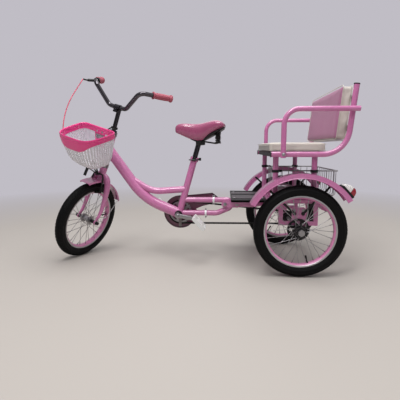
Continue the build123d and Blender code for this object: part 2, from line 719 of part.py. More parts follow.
def cargo_basket():
    (x0, x1), (z0, z1), y = CARGO_X, CARGO_Z, CARGO_HALF_W
    r = CARGO_RIM_D / 2
    solids = []
    rim = y_disc(x0, -y, y, z1, r) + y_disc(x1, -y, y, z1, r)
    for side in (1, -1):
        rim += rod([(x0 - r, side * y, z1), (x1 + r, side * y, z1)], CARGO_RIM_D)
    solids += rim.solids()
    top = z1 - r - 0.3
    n = 8
    for i in range(n):
        x = x0 + 12 + (x1 - x0 - 24) * i / (n - 1)
        solids.append(rod([(x, -y, top), (x, -y, z0), (x, y, z0), (x, y, top)], WIRE_D, [9, 9]))
    m = 11
    low = z0 + WIRE_D + 0.2
    for i in range(m):
        yy = -y + 16 + (2 * y - 32) * i / (m - 1)
        solids.append(rod([(x0, yy, top), (x0, yy, low), (x1, yy, low), (x1, yy, top)], WIRE_D, [9, 9]))
    save("cargo_basket", Compound(children=solids))

    clamps = []
    for x in POST_X:
        for side in (1, -1):
            ring = Pos(x, side * POST_Y, z1) * Cylinder(BENCH_POST_D / 2 + 4, 12)
            reach_x = min(x, x1 - 4)
            arm = block(reach_x - 8, reach_x + 8, side * (POST_Y - 8), side * (y - r - 3), z1 - 1.5, z1 + 5)
            if x > x1:
                arm += block(reach_x - 8, x, side * (POST_Y - 8), side * (POST_Y - 22), z1 - 5, z1 + 5)
            clamp = ring + arm
            clamp -= Pos(x, side * POST_Y, z1) * Cylinder(BENCH_POST_D / 2 + 0.1, 30)
            clamp -= rod([(x0 - 30, side * y, z1), (x1 + 30, side * y, z1)], CARGO_RIM_D + 0.4)
            clamp -= y_disc(x1, -y - 6, y + 6, z1, r + 0.2)
            clamps.append(max(clamp.solids(), key=lambda s: s.volume))
    save("cargo_clamps", Compound(children=clamps))


# Steering: built straight about the steering axis, then leaned and turned


def steered(shape):
    """Places a piece built in the fork's own axes: x forward, y left, z up the axis."""
    lean, turn = radians(RAKE), radians(TURN)
    axis = Vector(-sin(lean), 0, cos(lean))
    ahead = Vector(cos(lean), 0, sin(lean)) * cos(turn) + Vector(0, 1, 0) * sin(turn)
    plane = Plane(origin=(STEER_X, 0, STEER_Z), x_dir=ahead, z_dir=axis)
    return plane.location * shape


def hub_drop():
    """How far below the reference point the front hub is, so that the tyre meets the ground."""
    lean, turn = radians(RAKE), radians(TURN)
    across_z = -sin(turn) * sin(lean)
    tyre_r = TYRE_D / 2
    hub_z = (WHEEL_R - tyre_r) * sqrt(1 - across_z**2) + tyre_r
    return (STEER_Z + FORK_OFFSET * cos(turn) * sin(lean) - hub_z) / cos(lean)


DROP = hub_drop()


def front_wheel():
    place = Pos(FORK_OFFSET, 0, -DROP)
    save("front_tyre", steered(place * tyre()))
    save("front_wheel", steered(place * wheel(FRONT_AXLE_D)))


def fork():
    made = rod([(0, 0, -12), (0, 0, HEAD_HIGH + CUP_H)], STEERER_D)
    made += Pos(0, 0, CROWN_Z) * Box(34, 2 * LEG_Y - 26, CROWN_H)
    foot = -DROP + 24
    for side in (1, -1):
        y = side * LEG_Y
        leg = rod([(0, side * 16, CROWN_Z + 2), (0, y, CROWN_Z - 20), (0, y, -DROP + 80), (FORK_OFFSET * 0.72, y, foot)],
                  LEG_D, [38, 90])
        made += leg
        made += Pos(FORK_OFFSET, y, -DROP) * Rot(90, 0, 0) * Cylinder(13, 6)
        made += Pos(FORK_OFFSET * 0.86, y, -DROP + 14) * Box(20, 6, 30)
    made -= Pos(FORK_OFFSET, 0, -DROP) * Rot(90, 0, 0) * Cylinder(FRONT_AXLE_D / 2 + BEARING_GAP, 200)
    save("fork", steered(made))
    spacer = LEG_Y - 3 - HUB_HALF - 0.6
    axle = Cylinder(FRONT_AXLE_D / 2, 2 * LEG_Y + 38)
    for side in (1, -1):
        axle += Pos(0, 0, side * (LEG_Y + 11.5)) * Cylinder(9, 11)
        axle += Pos(0, 0, side * (HUB_HALF + LEG_Y - 3) / 2) * Cylinder(9, spacer)
    save("front_axle", steered(Pos(FORK_OFFSET, 0, -DROP) * Rot(90, 0, 0) * axle))


def headset():
    cups = []
    for low in (HEAD_LOW - CUP_H, HEAD_HIGH):
        cup = rod([(0, 0, low), (0, 0, low + CUP_H)], CUP_D)
        cup -= rod([(0, 0, low - 1), (0, 0, low + CUP_H + 1)], STEERER_D + 2 * BEARING_GAP)
        cups.append(steered(cup))
    save("headset", Compound(children=cups))


def half_bar():
    return rod([BAR_CLAMP, BAR_FOOT, BAR_BEND, BAR_END], BAR_D, [34, 34])


def bar_way():
    """The end of the left half of the bar and its outward direction there."""
    end, start = Vector(*BAR_END), Vector(*BAR_BEND)
    return end, (end - start).normalized()


def stem_and_bar():
    base = HEAD_HIGH + CUP_H
    stem = rod([(0, 0, base), (0, 0, STEM_TOP)], STEM_D)
    stem += rod([(0, 0, base + 0.3), (0, 0, base + 8)], 36)
    stem += Pos(STEM_REACH, 0, STEM_TOP + 2) * Rot(90, 0, 0) * Cylinder(16, 34)
    stem += Pos(STEM_REACH / 2, 0, STEM_TOP) * Box(STEM_REACH, STEM_D, 24)
    stem += Pos(STEM_REACH + 10, 0, STEM_TOP - 16) * Box(16, 20, 14)
    stem += Pos(STEM_REACH + 10, 0, STEM_TOP - 18) * Rot(90, 0, 0) * Cylinder(5, 30)
    bar = half_bar() + mirrored(half_bar())
    save("handlebar", steered(bar))
    save("stem", steered(stem - bar))

    end, way = bar_way()
    g0, g1 = end - way * GRIP_L, end + way * 4
    grip = rod([tuple(g0), tuple(g1)], GRIP_D) + rod([tuple(g1 - way * 12), tuple(g1)], GRIP_FLANGE_D)
    grip += rod([tuple(g0), tuple(g0 + way * 5)], GRIP_FLANGE_D)
    grip -= rod([tuple(g0 - way), tuple(end)], BAR_D + 0.2)
    save("grips", Compound(children=[steered(grip), steered(mirrored(grip))]))


LEVER_OUT = 46.0
LEVER_DROP = 12.0


def lever_frame():
    """The lever's seat on the right half of the bar, the bar's way and the lever's outward way."""
    end, way = bar_way()
    way = Vector(way.X, -way.Y, way.Z)
    seat = Vector(BAR_END[0], -BAR_END[1], BAR_END[2]) - way * LEVER_AT
    out = Vector(-way.Y, way.X, 0).normalized() * -1
    if out.X < 0:
        out = out * -1
    return seat, way, out


def barrel_end():
    seat, way, out = lever_frame()
    return seat - way * 4 + out * (LEVER_OUT + 22) + Vector(0, 0, -LEVER_DROP - 2)


def brake_lever():
    seat, way, out = lever_frame()
    down = Vector(0, 0, -LEVER_DROP)
    made = rod([tuple(seat - way * 9), tuple(seat + way * 9)], BAR_D + 9)
    perch = seat + out * 26 + down * 0.6
    made += rod([tuple(seat), tuple(perch), tuple(seat + out * LEVER_OUT + down)], 14, [8])
    tip = seat + way * (LEVER_AT - 14) + out * 44 + down
    made += rod([tuple(seat + out * 34 + down * 0.8), tuple(seat + way * 34 + out * 42 + down), tuple(tip)], 9, [16])
    barrel = barrel_end()
    made += rod([tuple(seat - way * 3 + out * (LEVER_OUT - 10) + down), tuple(barrel)], 8)
    made -= rod([tuple(seat - way * 12), tuple(seat + way * 12)], BAR_D + 0.2)
    save("brake_lever", steered(made))


CALIPER_Z = CROWN_Z + 4.0
CALIPER_HALF = 39.0
CABLE_END = (27.0, -36.0, 20.0)


def brake_caliper():
    rim_z = -DROP + RIM_FLANGE_R - 8
    made = Pos(17.3 + 11, 0, CALIPER_Z) * Rot(0, 90, 0) * Cylinder(6, 22)
    for side, x in ((1, 31.0), (-1, 23.0)):
        y = side * CALIPER_HALF
        pad_x = FORK_OFFSET + 2
        made += rod([(x, -side * 3, CALIPER_Z), (x, y * 0.8, CALIPER_Z + 4), (x, y, CALIPER_Z - 24), (pad_x, y, rim_z)],
                    8, [14, 14])
        made += rod([(pad_x, y + side * 3, rim_z), (pad_x, side * 29, rim_z)], 7)
        made += Pos(pad_x, side * 25, rim_z) * Box(44, 9, 10)
    made += rod([(23.0, -4, CALIPER_Z), (24, -38, CALIPER_Z + 12)], 7)
    made += rod([(31.0, 2, CALIPER_Z), (29, -34, CALIPER_Z + 34)], 7)
    end = Vector(*CABLE_END)
    made += rod([(end.X, end.Y, CALIPER_Z + 26), (end.X, end.Y, end.Z - 0.2)], 8)
    save("brake_caliper", steered(made))


CABLE_D = 5.0
CABLE_POINTS = (
    (88.0, -222.0, 372.0),
    (128.0, -212.0, 300.0),
    (160.0, -190.0, 220.0),
    (176.0, -158.0, 140.0),
    (168.0, -118.0, 76.0),
    (140.0, -84.0, 36.0),
    (96.0, -58.0, 16.0),
)


def brake_cable():
    start = barrel_end()
    seat, way, out = lever_frame()
    first = start + out * 1.3
    last = (CABLE_END[0], CABLE_END[1], CABLE_END[2] + 0.2)
    path = Spline([tuple(first)] + list(CABLE_POINTS) + [last],
                  tangents=[tuple(out * 0.8 + Vector(0, 0, -0.6)), (0, 0, -1)])
    face = Plane(origin=path @ 0, z_dir=path % 0) * Circle(CABLE_D / 2)
    save("brake_cable", steered(sweep(face, path=path)))


def front_fender():
    r = WHEEL_R + 14
    start, arc, half = 150.0, 84.0, 31.0
    profile = Pos(r, 0) * Rectangle(2.5, 2 * half)
    for side in (1, -1):
        profile += Pos(r - 4, side * (half - 1.25)) * Rectangle(8, 2.5)
    band = Rot(0, -start, 0) * revolve(profile, axis=Axis.Y, revolution_arc=arc)
    made = Pos(FORK_OFFSET, 0, -DROP) * band
    top = -DROP + sqrt(r**2 - FORK_OFFSET**2)
    made += block(-8, 10, -14, 14, top - 1, CROWN_Z - CROWN_H / 2 - SEAT_GAP)
    eye_y = LEG_Y + 3 + 1.5
    for side in (1, -1):
        a = radians(146)
        rear = (FORK_OFFSET + (r - 8) * cos(a), side * (half + 2), -DROP + (r - 8) * sin(a))
        stay = rod([rear, (-34, side * 75, -DROP + 36), (FORK_OFFSET - 8, side * eye_y, -DROP + 4)], 3.5, [30])
        eye = Pos(FORK_OFFSET, side * eye_y, -DROP) * Rot(90, 0, 0) * (
            Cylinder(10, 2) - Cylinder(FRONT_AXLE_D / 2 + 0.2, 4))
        made += stay + eye
    save("front_fender", steered(made))


def basket_face(p, half, depth, z):
    """A D-shaped outline with its flat side to the head tube and a squarish front."""
    front = []
    steps = 7
    for i in range(-steps + 1, steps):
        t = radians(90.0 * i / steps)
        front.append((p + depth * cos(t) ** BASKET_SQUARE, half * abs(sin(t)) ** BASKET_SQUARE * (1 if i > 0 else -1)))
    front[steps - 1] = (p + depth, 0)
    with BuildSketch() as face:
        with BuildLine():
            Line((p, half), (p, -half))
            Spline([(p, -half)] + front + [(p, half)], tangents=[(1, 0), (-1, 0)])
        make_face()
    return Pos(0, 0, z) * face.sketch


BASKET_SECTIONS = (
    # height above the floor, share of the rim's half width, share of its depth
    (0.0, 0.52, 0.54),
    (0.22, 0.74, 0.77),
    (0.60, 0.90, 0.92),
    (1.0, 1.0, 1.0),
)


def basket_loft(inset, low):
    faces = []
    height = BASKET_RIM - BAND_H - BASKET_FLOOR
    for share, wide, deep in BASKET_SECTIONS:
        z = BASKET_FLOOR + share * height + (low if share == 0 else 0)
        z += 2 if (share == 1 and inset) else 0
        faces.append(basket_face(BASKET_BACK + inset, (BASKET_HALF - 3) * wide - inset,
                                 (BASKET_DEPTH - 3) * deep - 2 * inset, z))
    return loft(faces)


def basket_place(shape):
    return steered(Rot(0, RAKE + BASKET_TILT, 0) * shape)


def front_basket():
    made = basket_loft(0, 0) - basket_loft(BASKET_WALL, BASKET_WALL)
    save("basket", basket_place(made))
    z = BASKET_RIM - BAND_H + SEAT_GAP
    rim_out = basket_face(BASKET_BACK - 2, BASKET_HALF, BASKET_DEPTH + 2, z)
    rim_in = basket_face(BASKET_BACK + 5, BASKET_HALF - 8, BASKET_DEPTH - 12, z)
    save("basket_rim", basket_place(extrude(rim_out - rim_in, amount=BAND_H)))

    tilt = radians(RAKE + BASKET_TILT)

    def in_fork(p, q, r):
        return (p * cos(tilt) + r * sin(tilt), q, -p * sin(tilt) + r * cos(tilt))

    ring = rod([(0, 0, 226), (0, 0, 238)], STEM_D + 12)
    for side in (1, -1):
        ring += rod([(10, side * 9, 232), in_fork(BASKET_BACK - 4, side * 14, 200)], 7)
    plate = Rot(0, RAKE + BASKET_TILT, 0) * block(BASKET_BACK - 4, BASKET_BACK - 0.2, -24, 24, 176, 214)
    ring += plate
    ring -= rod([(0, 0, 220), (0, 0, 244)], STEM_D + 0.2)
    ring -= Rot(0, RAKE + BASKET_TILT, 0) * block(BASKET_BACK - 0.2, BASKET_BACK + 20, -60, 60, 100, 260)
    z = CALIPER_Z
    corner = (120.0, 12.6)
    with BuildSketch() as strap_face:
        with BuildLine():
            line = Polyline((41, z), (62, z + 7), corner, (128, -28))
            offset(line, amount=1.5)
        make_face()
    strap = xz_plate(strap_face.sketch, -8, 8)
    strap += Pos(41.2, 0, z) * Rot(0, 90, 0) * Cylinder(9, 3)
    save("basket_bracket", Compound(children=[steered(ring), steered(strap)]))


rear_wheels()
rear_axle()
chain()
sprocket()
crankset()
pedals()
main_frame()
saddle()
chain_guard()
bench(rear_frame())
end_caps()
footboard()
fenders()
cargo_basket()
front_wheel()
fork()
headset()
stem_and_bar()
brake_lever()
brake_caliper()
brake_cable()
front_fender()
front_basket()
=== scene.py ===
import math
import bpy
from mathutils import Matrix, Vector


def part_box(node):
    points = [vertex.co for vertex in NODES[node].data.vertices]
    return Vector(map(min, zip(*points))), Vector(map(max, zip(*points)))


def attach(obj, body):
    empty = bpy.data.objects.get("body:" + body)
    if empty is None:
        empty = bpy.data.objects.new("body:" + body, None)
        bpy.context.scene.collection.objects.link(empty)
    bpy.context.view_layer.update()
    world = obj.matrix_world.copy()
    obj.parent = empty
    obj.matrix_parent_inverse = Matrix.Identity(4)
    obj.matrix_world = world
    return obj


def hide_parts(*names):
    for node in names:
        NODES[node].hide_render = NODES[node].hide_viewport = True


bl_info = {
    "name": "Passenger Tricycle Dressing",
    "version": (1, 0, 0),
    "blender": (4, 5, 0),
    "location": "View3D > Sidebar > Tricycle",
    "description": "Dresses the solids of a passenger tricycle with its soft goods, small parts and finishes",
    "category": "Object",
}

import bmesh
import bpy
from bpy.props import FloatProperty, FloatVectorProperty, IntProperty, PointerProperty
from mathutils import Euler, Matrix, Vector

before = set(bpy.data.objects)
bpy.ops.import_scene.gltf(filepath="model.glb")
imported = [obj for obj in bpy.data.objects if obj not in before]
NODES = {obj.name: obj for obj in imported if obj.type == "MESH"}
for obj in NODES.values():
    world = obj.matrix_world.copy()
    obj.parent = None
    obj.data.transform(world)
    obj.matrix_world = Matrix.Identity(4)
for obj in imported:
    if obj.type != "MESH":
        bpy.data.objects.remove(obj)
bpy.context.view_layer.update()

# The camera, fitted to the wheels, bench and floor lines
CAMERA_AT = Vector((0.3311, 1.9333, 0.5729))
CAMERA_YAW, CAMERA_PITCH, CAMERA_ROLL = 0.0666, 0.1396, -0.0014
FOCAL_SHARE = 375.22 / 400

# The steering axis and the things built about it
RAKE, TURN = math.radians(17.1), math.radians(67.7)
STEER_AT = Vector((0.970, 0.0, 0.450))
FORK_OFFSET, HUB_DROP = 0.025, 0.26631
BASKET_LEAN = math.radians(17.1 + 6.8)
WHEEL_R = 0.205
REAR_HALF_TRACK = 0.289
CHAIN_Y = -0.045
BB = Vector((0.569, 0.0, 0.230))


def steer_matrix():
    """The fork's own axes: x ahead, y left, z up the steering axis."""
    ahead = Vector((math.cos(RAKE) * math.cos(TURN), math.sin(TURN), math.sin(RAKE) * math.cos(TURN)))
    axis = Vector((-math.sin(RAKE), 0.0, math.cos(RAKE)))
    left = axis.cross(ahead)
    turn = Matrix((ahead, left, axis)).transposed()
    return Matrix.Translation(STEER_AT) @ turn.to_4x4()


STEER = steer_matrix()
FRONT_HUB = STEER @ Matrix.Translation((FORK_OFFSET, 0.0, -HUB_DROP))
LEFT_HUB = Matrix.Translation((0.0, REAR_HALF_TRACK, WHEEL_R))
RIGHT_HUB = Matrix.Translation((0.0, -REAR_HALF_TRACK, WHEEL_R))
BASKET = STEER @ Matrix.Rotation(BASKET_LEAN, 4, "Y")
WHEELS = {
    "left": (LEFT_HUB, "drive_axle"),
    "right": (RIGHT_HUB, "right_wheel"),
    "front": (FRONT_HUB, "front_wheel"),
}


def tint(r, g, b):
    """A colour as it is seen on a screen, from 0 to 255, turned to the linear one that a shader takes."""
    made = []
    for part in (r, g, b):
        s = part / 255
        made.append(s / 12.92 if s <= 0.04045 else ((s + 0.055) / 1.055) ** 2.4)
    return tuple(made)


def colour(words, shade):
    return FloatVectorProperty(name=words, description=words + " of the tricycle", subtype="COLOR",
                               size=3, min=0.0, max=1.0, default=tint(*shade))


class TricycleColours(bpy.types.PropertyGroup):
    """Colours that a user would change."""

    frame_pink: colour("Frame paint", (198, 114, 164))
    # painted shade: the chain guard is frame paint, its pink darkened to the shade it sits in behind the frame
    guard_pink_painted_shade: colour("Chain guard pink in painted shade", (116, 58, 86))
    basket_pink: colour("Basket rim", (232, 66, 138))
    basket_white: colour("Basket wall", (222, 221, 226))
    saddle_pink: colour("Saddle skin", (160, 74, 112))
    grip_pink: colour("Grip rubber", (168, 80, 96))
    cable_pink: colour("Cable cover", (214, 84, 112))
    back_pink: colour("Backrest panel", (165, 104, 138))
    cream: colour("Bench vinyl", (204, 198, 188))
    board: colour("Bench board", (52, 46, 47))
    lens_red: colour("Lamp lens", (150, 22, 40))
    floor: colour("Floor", (184, 178, 171))
    backdrop: colour("Backdrop", (192, 189, 197))


def size(words, metres, low=0.0, high=1.0):
    return FloatProperty(name=words, description=words, subtype="DISTANCE", unit="LENGTH",
                         min=low, max=high, default=metres)


class TricycleSizes(bpy.types.PropertyGroup):
    """Sizes that a user would change."""

    tread_depth: size("Depth of the tyre tread", 0.0016)
    tread_blocks: IntProperty(name="Tread blocks round a tyre", description="Tread blocks round a tyre",
                              default=66, min=20, max=120)
    cable_d: size("Brake cable diameter", 0.005)
    puff: size("How far a pad may swell", 0.0030)
    weave_wire: size("Basket strand width", 0.0042)
    piping_d: size("Seam piping diameter", 0.0032)
    rib_pitch: size("Footboard rib pitch", 0.0150)
    plate_t: size("Chain plate thickness", 0.0011)


def sizes():
    return bpy.context.scene.tricycle_sizes


def colours():
    return bpy.context.scene.tricycle_colours


# Node groups that several finishes share


class Tree:
    """A small hand for wiring shader nodes in one tree."""

    def __init__(self, tree):
        self.tree = tree
        self.x = -1500

    def add(self, kind, label="", **settings):
        node = self.tree.nodes.new(kind)
        node.label = label
        node.location = (self.x, 0)
        self.x += 40
        for key, value in settings.items():
            setattr(node, key, value)
        return node

    def join(self, source, target):
        self.tree.links.new(source, target)

    def feed(self, value, socket):
        """Links a socket, or sets a plain number or colour."""
        if isinstance(value, bpy.types.NodeSocket):
            self.join(value, socket)
        elif hasattr(value, "__len__") and len(value) == 3 and socket.type == "RGBA":
            socket.default_value = (*value, 1.0)
        else:
            socket.default_value = value

    def math(self, operation, a, b=0.0, c=None, clamp=False):
        node = self.add("ShaderNodeMath", operation=operation, use_clamp=clamp)
        self.feed(a, node.inputs[0])
        self.feed(b, node.inputs[1])
        if c is not None:
            self.feed(c, node.inputs[2])
        return node.outputs[0]

    def mix(self, mask, a, b):
        node = self.add("ShaderNodeMix", data_type="RGBA")
        self.feed(mask, node.inputs[0])
        self.feed(a, node.inputs[6])
        self.feed(b, node.inputs[7])
        return node.outputs[2]

    def blend(self, mask, a, b):
        node = self.add("ShaderNodeMix", data_type="FLOAT")
        self.feed(mask, node.inputs[0])
        self.feed(a, node.inputs[2])
        self.feed(b, node.inputs[3])
        return node.outputs[0]

    def ramp(self, value, low, high):
        """0 at low, 1 at high."""
        node = self.add("ShaderNodeMapRange", clamp=True)
        self.feed(value, node.inputs["Value"])
        self.feed(low, node.inputs["From Min"])
        self.feed(high, node.inputs["From Max"])
        return node.outputs["Result"]

    def noise(self, place, scale, detail=3.0, roughness=0.55):
        node = self.add("ShaderNodeTexNoise")
        self.feed(place, node.inputs["Vector"])
        self.feed(scale, node.inputs["Scale"])
        node.inputs["Detail"].default_value = detail
        node.inputs["Roughness"].default_value = roughness
        return node.outputs["Fac"]

    def parts(self, vector):
        node = self.add("ShaderNodeSeparateXYZ")
        self.feed(vector, node.inputs[0])
        return node.outputs

    def place(self):
        """The point on the object, in metres."""
        return self.add("ShaderNodeTexCoord").outputs["Object"]

    def group(self, group, **values):
        node = self.add("ShaderNodeGroup")
        node.node_tree = group
        for key, value in values.items():
            self.feed(value, node.inputs[key.replace("_", " ")])
        return node.outputs


GROUPS = {}


def new_group(name, inputs, outputs):
    tree = bpy.data.node_groups.new(name, "ShaderNodeTree")
    for label, kind, default in inputs:
        socket = tree.interface.new_socket(label, in_out="INPUT", socket_type="NodeSocket" + kind)
        if default is not None:
            socket.default_value = default
    for label, kind in outputs:
        tree.interface.new_socket(label, in_out="OUTPUT", socket_type="NodeSocket" + kind)
    hand = Tree(tree)
    return hand, hand.add("NodeGroupInput").outputs, hand.add("NodeGroupOutput").inputs


def build_groups():
    """The effects that more than one finish uses, each made once."""
    # Uneven colour: broad soft patches over fine ones
    t, g, out = new_group("uneven_colour", [("Place", "Vector", None), ("Colour", "Color", None),
                                            ("Scale", "Float", 20.0), ("Amount", "Float", 0.1)],
                          [("Colour", "Color"), ("Patch", "Float")])
    broad = t.noise(g["Place"], g["Scale"], 2.0)
    fine = t.noise(g["Place"], t.math("MULTIPLY", g["Scale"], 9.0), 4.0)
    patch = t.math("MULTIPLY_ADD", fine, 0.35, t.math("MULTIPLY", broad, 0.65))
    gain = t.math("MULTIPLY_ADD", t.math("SUBTRACT", patch, 0.5), t.math("MULTIPLY", g["Amount"], 2.0), 1.0)
    scaled = t.add("ShaderNodeVectorMath", operation="SCALE")
    t.join(g["Colour"], scaled.inputs[0])
    t.join(gain, scaled.inputs["Scale"])
    t.join(scaled.outputs[0], out["Colour"])
    t.join(patch, out["Patch"])
    GROUPS["uneven"] = t.tree

    # Fine moulded or orange-peel surface
    t, g, out = new_group("fine_surface", [("Place", "Vector", None), ("Scale", "Float", 900.0),
                                           ("Depth", "Float", 0.1)], [("Normal", "Vector"), ("Height", "Float")])
    height = t.noise(g["Place"], g["Scale"], 3.0)
    bump = t.add("ShaderNodeBump")
    t.join(height, bump.inputs["Height"])
    t.join(g["Depth"], bump.inputs["Strength"])
    bump.inputs["Distance"].default_value = 0.0004
    t.join(bump.outputs[0], out["Normal"])
    t.join(height, out["Height"])
    GROUPS["fine"] = t.tree

    # Vinyl grain: small pebbles with creases between them, and long soft wrinkles
    t, g, out = new_group("vinyl_grain", [("Place", "Vector", None), ("Scale", "Float", 900.0),
                                          ("Depth", "Float", 0.3), ("Wrinkle", "Float", 0.3)],
                          [("Normal", "Vector"), ("Crease", "Float")])
    cells = t.add("ShaderNodeTexVoronoi", feature="DISTANCE_TO_EDGE")
    t.join(g["Place"], cells.inputs["Vector"])
    t.join(g["Scale"], cells.inputs["Scale"])
    pebble = t.ramp(cells.outputs["Distance"], 0.0, 0.16)
    wrinkle = t.noise(g["Place"], 16.0, 2.0, 0.4)
    small = t.add("ShaderNodeBump")
    t.join(pebble, small.inputs["Height"])
    t.join(g["Depth"], small.inputs["Strength"])
    small.inputs["Distance"].default_value = 0.0003
    large = t.add("ShaderNodeBump")
    t.join(wrinkle, large.inputs["Height"])
    t.join(g["Wrinkle"], large.inputs["Strength"])
    large.inputs["Distance"].default_value = 0.006
    t.join(small.outputs[0], large.inputs["Normal"])
    t.join(large.outputs[0], out["Normal"])
    t.join(pebble, out["Crease"])
    GROUPS["vinyl"] = t.tree

    # Road dust: more of it near the ground, in soft patches
    t, g, out = new_group("road_dust", [("Place", "Vector", None), ("Amount", "Float", 0.3)],
                          [("Mask", "Float")])
    height = t.parts(g["Place"])["Z"]
    low = t.math("SUBTRACT", 1.0, t.ramp(height, 0.02, 0.42))
    specks = t.ramp(t.noise(g["Place"], 55.0, 5.0, 0.65), 0.45, 0.75)
    t.join(t.math("MULTIPLY", t.math("MULTIPLY", low, specks), g["Amount"], clamp=True), out["Mask"])
    GROUPS["dust"] = t.tree

    # Fine scratches and rubbed spots on bright metal
    t, g, out = new_group("rubbed_metal", [("Place", "Vector", None), ("Scale", "Float", 60.0)],
                          [("Mask", "Float")])
    stretched = t.add("ShaderNodeMapping")
    t.join(g["Place"], stretched.inputs["Vector"])
    stretched.inputs["Scale"].default_value = (1.0, 6.0, 1.0)
    lines = t.noise(stretched.outputs[0], t.math("MULTIPLY", g["Scale"], 6.0), 6.0, 0.7)
    spots = t.noise(g["Place"], g["Scale"], 4.0, 0.6)
    t.join(t.ramp(t.math("MULTIPLY", lines, spots), 0.18, 0.42), out["Mask"])
    GROUPS["rubbed"] = t.tree


# Finishes


def finish(name, shade, rough=(0.3, 0.4), metal=0.0, coat=0.0, coat_rough=0.08, uneven=(18.0, 0.08),
           surface=(900.0, 0.08), vinyl=None, dust=0.0, dust_shade=(0.42, 0.39, 0.35), zones=None,
           rubbed=0.0, sheen=0.0, gloss=0.5):
    """One Principled finish: a colour with patches, dust and a bump, and masks that turn parts of it
    to another colour, metalness and roughness. Each zone is (mask maker, colour, metalness, roughness)."""
    material = bpy.data.materials.new(name)
    material.use_nodes = True
    tree = material.node_tree
    tree.nodes.clear()
    t = Tree(tree)
    shader = t.add("ShaderNodeBsdfPrincipled", name)
    output = t.add("ShaderNodeOutputMaterial")
    t.join(shader.outputs[0], output.inputs[0])
    place = t.place()
    base = t.group(GROUPS["uneven"], Place=place, Colour=shade, Scale=uneven[0], Amount=uneven[1])
    hue, patch = base["Colour"], base["Patch"]
    roughness = t.blend(t.ramp(patch, 0.3, 0.7), rough[0], rough[1])
    metalness = metal
    for make_mask, zone_shade, zone_metal, zone_rough in zones or ():
        mask = make_mask(t, place)
        hue = t.mix(mask, hue, zone_shade)
        roughness = t.blend(mask, roughness, zone_rough)
        metalness = t.blend(mask, metalness, zone_metal)
    if rubbed:
        mask = t.math("MULTIPLY", t.group(GROUPS["rubbed"], Place=place)["Mask"], rubbed)
        roughness = t.math("ADD", roughness, mask, clamp=True)
    if dust:
        mask = t.group(GROUPS["dust"], Place=place, Amount=dust)["Mask"]
        hue = t.mix(mask, hue, dust_shade)
        roughness = t.blend(mask, roughness, 0.85)
    t.join(hue, shader.inputs["Base Color"])
    t.feed(roughness, shader.inputs["Roughness"])
    t.feed(metalness, shader.inputs["Metallic"])
    shader.inputs["Coat Weight"].default_value = coat
    shader.inputs["Coat Roughness"].default_value = coat_rough
    shader.inputs["Sheen Weight"].default_value = sheen
    shader.inputs["Specular IOR Level"].default_value = gloss
    if vinyl:
        normal = t.group(GROUPS["vinyl"], Place=place, Scale=vinyl[0], Depth=vinyl[1], Wrinkle=vinyl[2])
    else:
        normal = t.group(GROUPS["fine"], Place=place, Scale=surface[0], Depth=surface[1])
    t.join(normal["Normal"], shader.inputs["Normal"])
    return material


def hub_place(t, place, hub):
    """The point in a wheel's own axes, with the wheel's axle along Y."""
    node = t.add("ShaderNodeMapping", vector_type="TEXTURE")
    t.join(place, node.inputs["Vector"])
    node.inputs["Location"].default_value = hub.to_translation()
    node.inputs["Rotation"].default_value = hub.to_euler()
    return node.outputs[0]


def hub_radius(t, point):
    flat = t.add("ShaderNodeVectorMath", operation="MULTIPLY")
    t.join(point, flat.inputs[0])
    flat.inputs[1].default_value = (1.0, 0.0, 1.0)
    length = t.add("ShaderNodeVectorMath", operation="LENGTH")
    t.join(flat.outputs[0], length.inputs[0])
    return length.outputs["Value"]


def brake_track(hub):
    """Mask of a rim's outer side walls."""
    def make(t, place):
        point = hub_place(t, place, hub)
        side = t.math("GREATER_THAN", t.math("ABSOLUTE", t.parts(point)["Y"]), 0.0152)
        far = t.math("GREATER_THAN", hub_radius(t, point), 0.1500)
        return t.math("MULTIPLY", side, far)
    return make


def inside_rim(hub, limit=0.1458):
    """Mask of what lies nearer the hub than a radius: the spokes and hub, or the hub alone."""
    def make(t, place):
        point = hub_place(t, place, hub)
        return t.math("LESS_THAN", hub_radius(t, point), limit)
    return make


def beyond(axis, limit, sign=1.0):
    """Mask of where a coordinate is past a limit."""
    def make(t, place):
        value = t.parts(place)[axis]
        if sign == 0:
            value = t.math("ABSOLUTE", value)
        return t.math("LESS_THAN" if sign < 0 else "GREATER_THAN", value, limit)
    return make


MATERIALS = {}


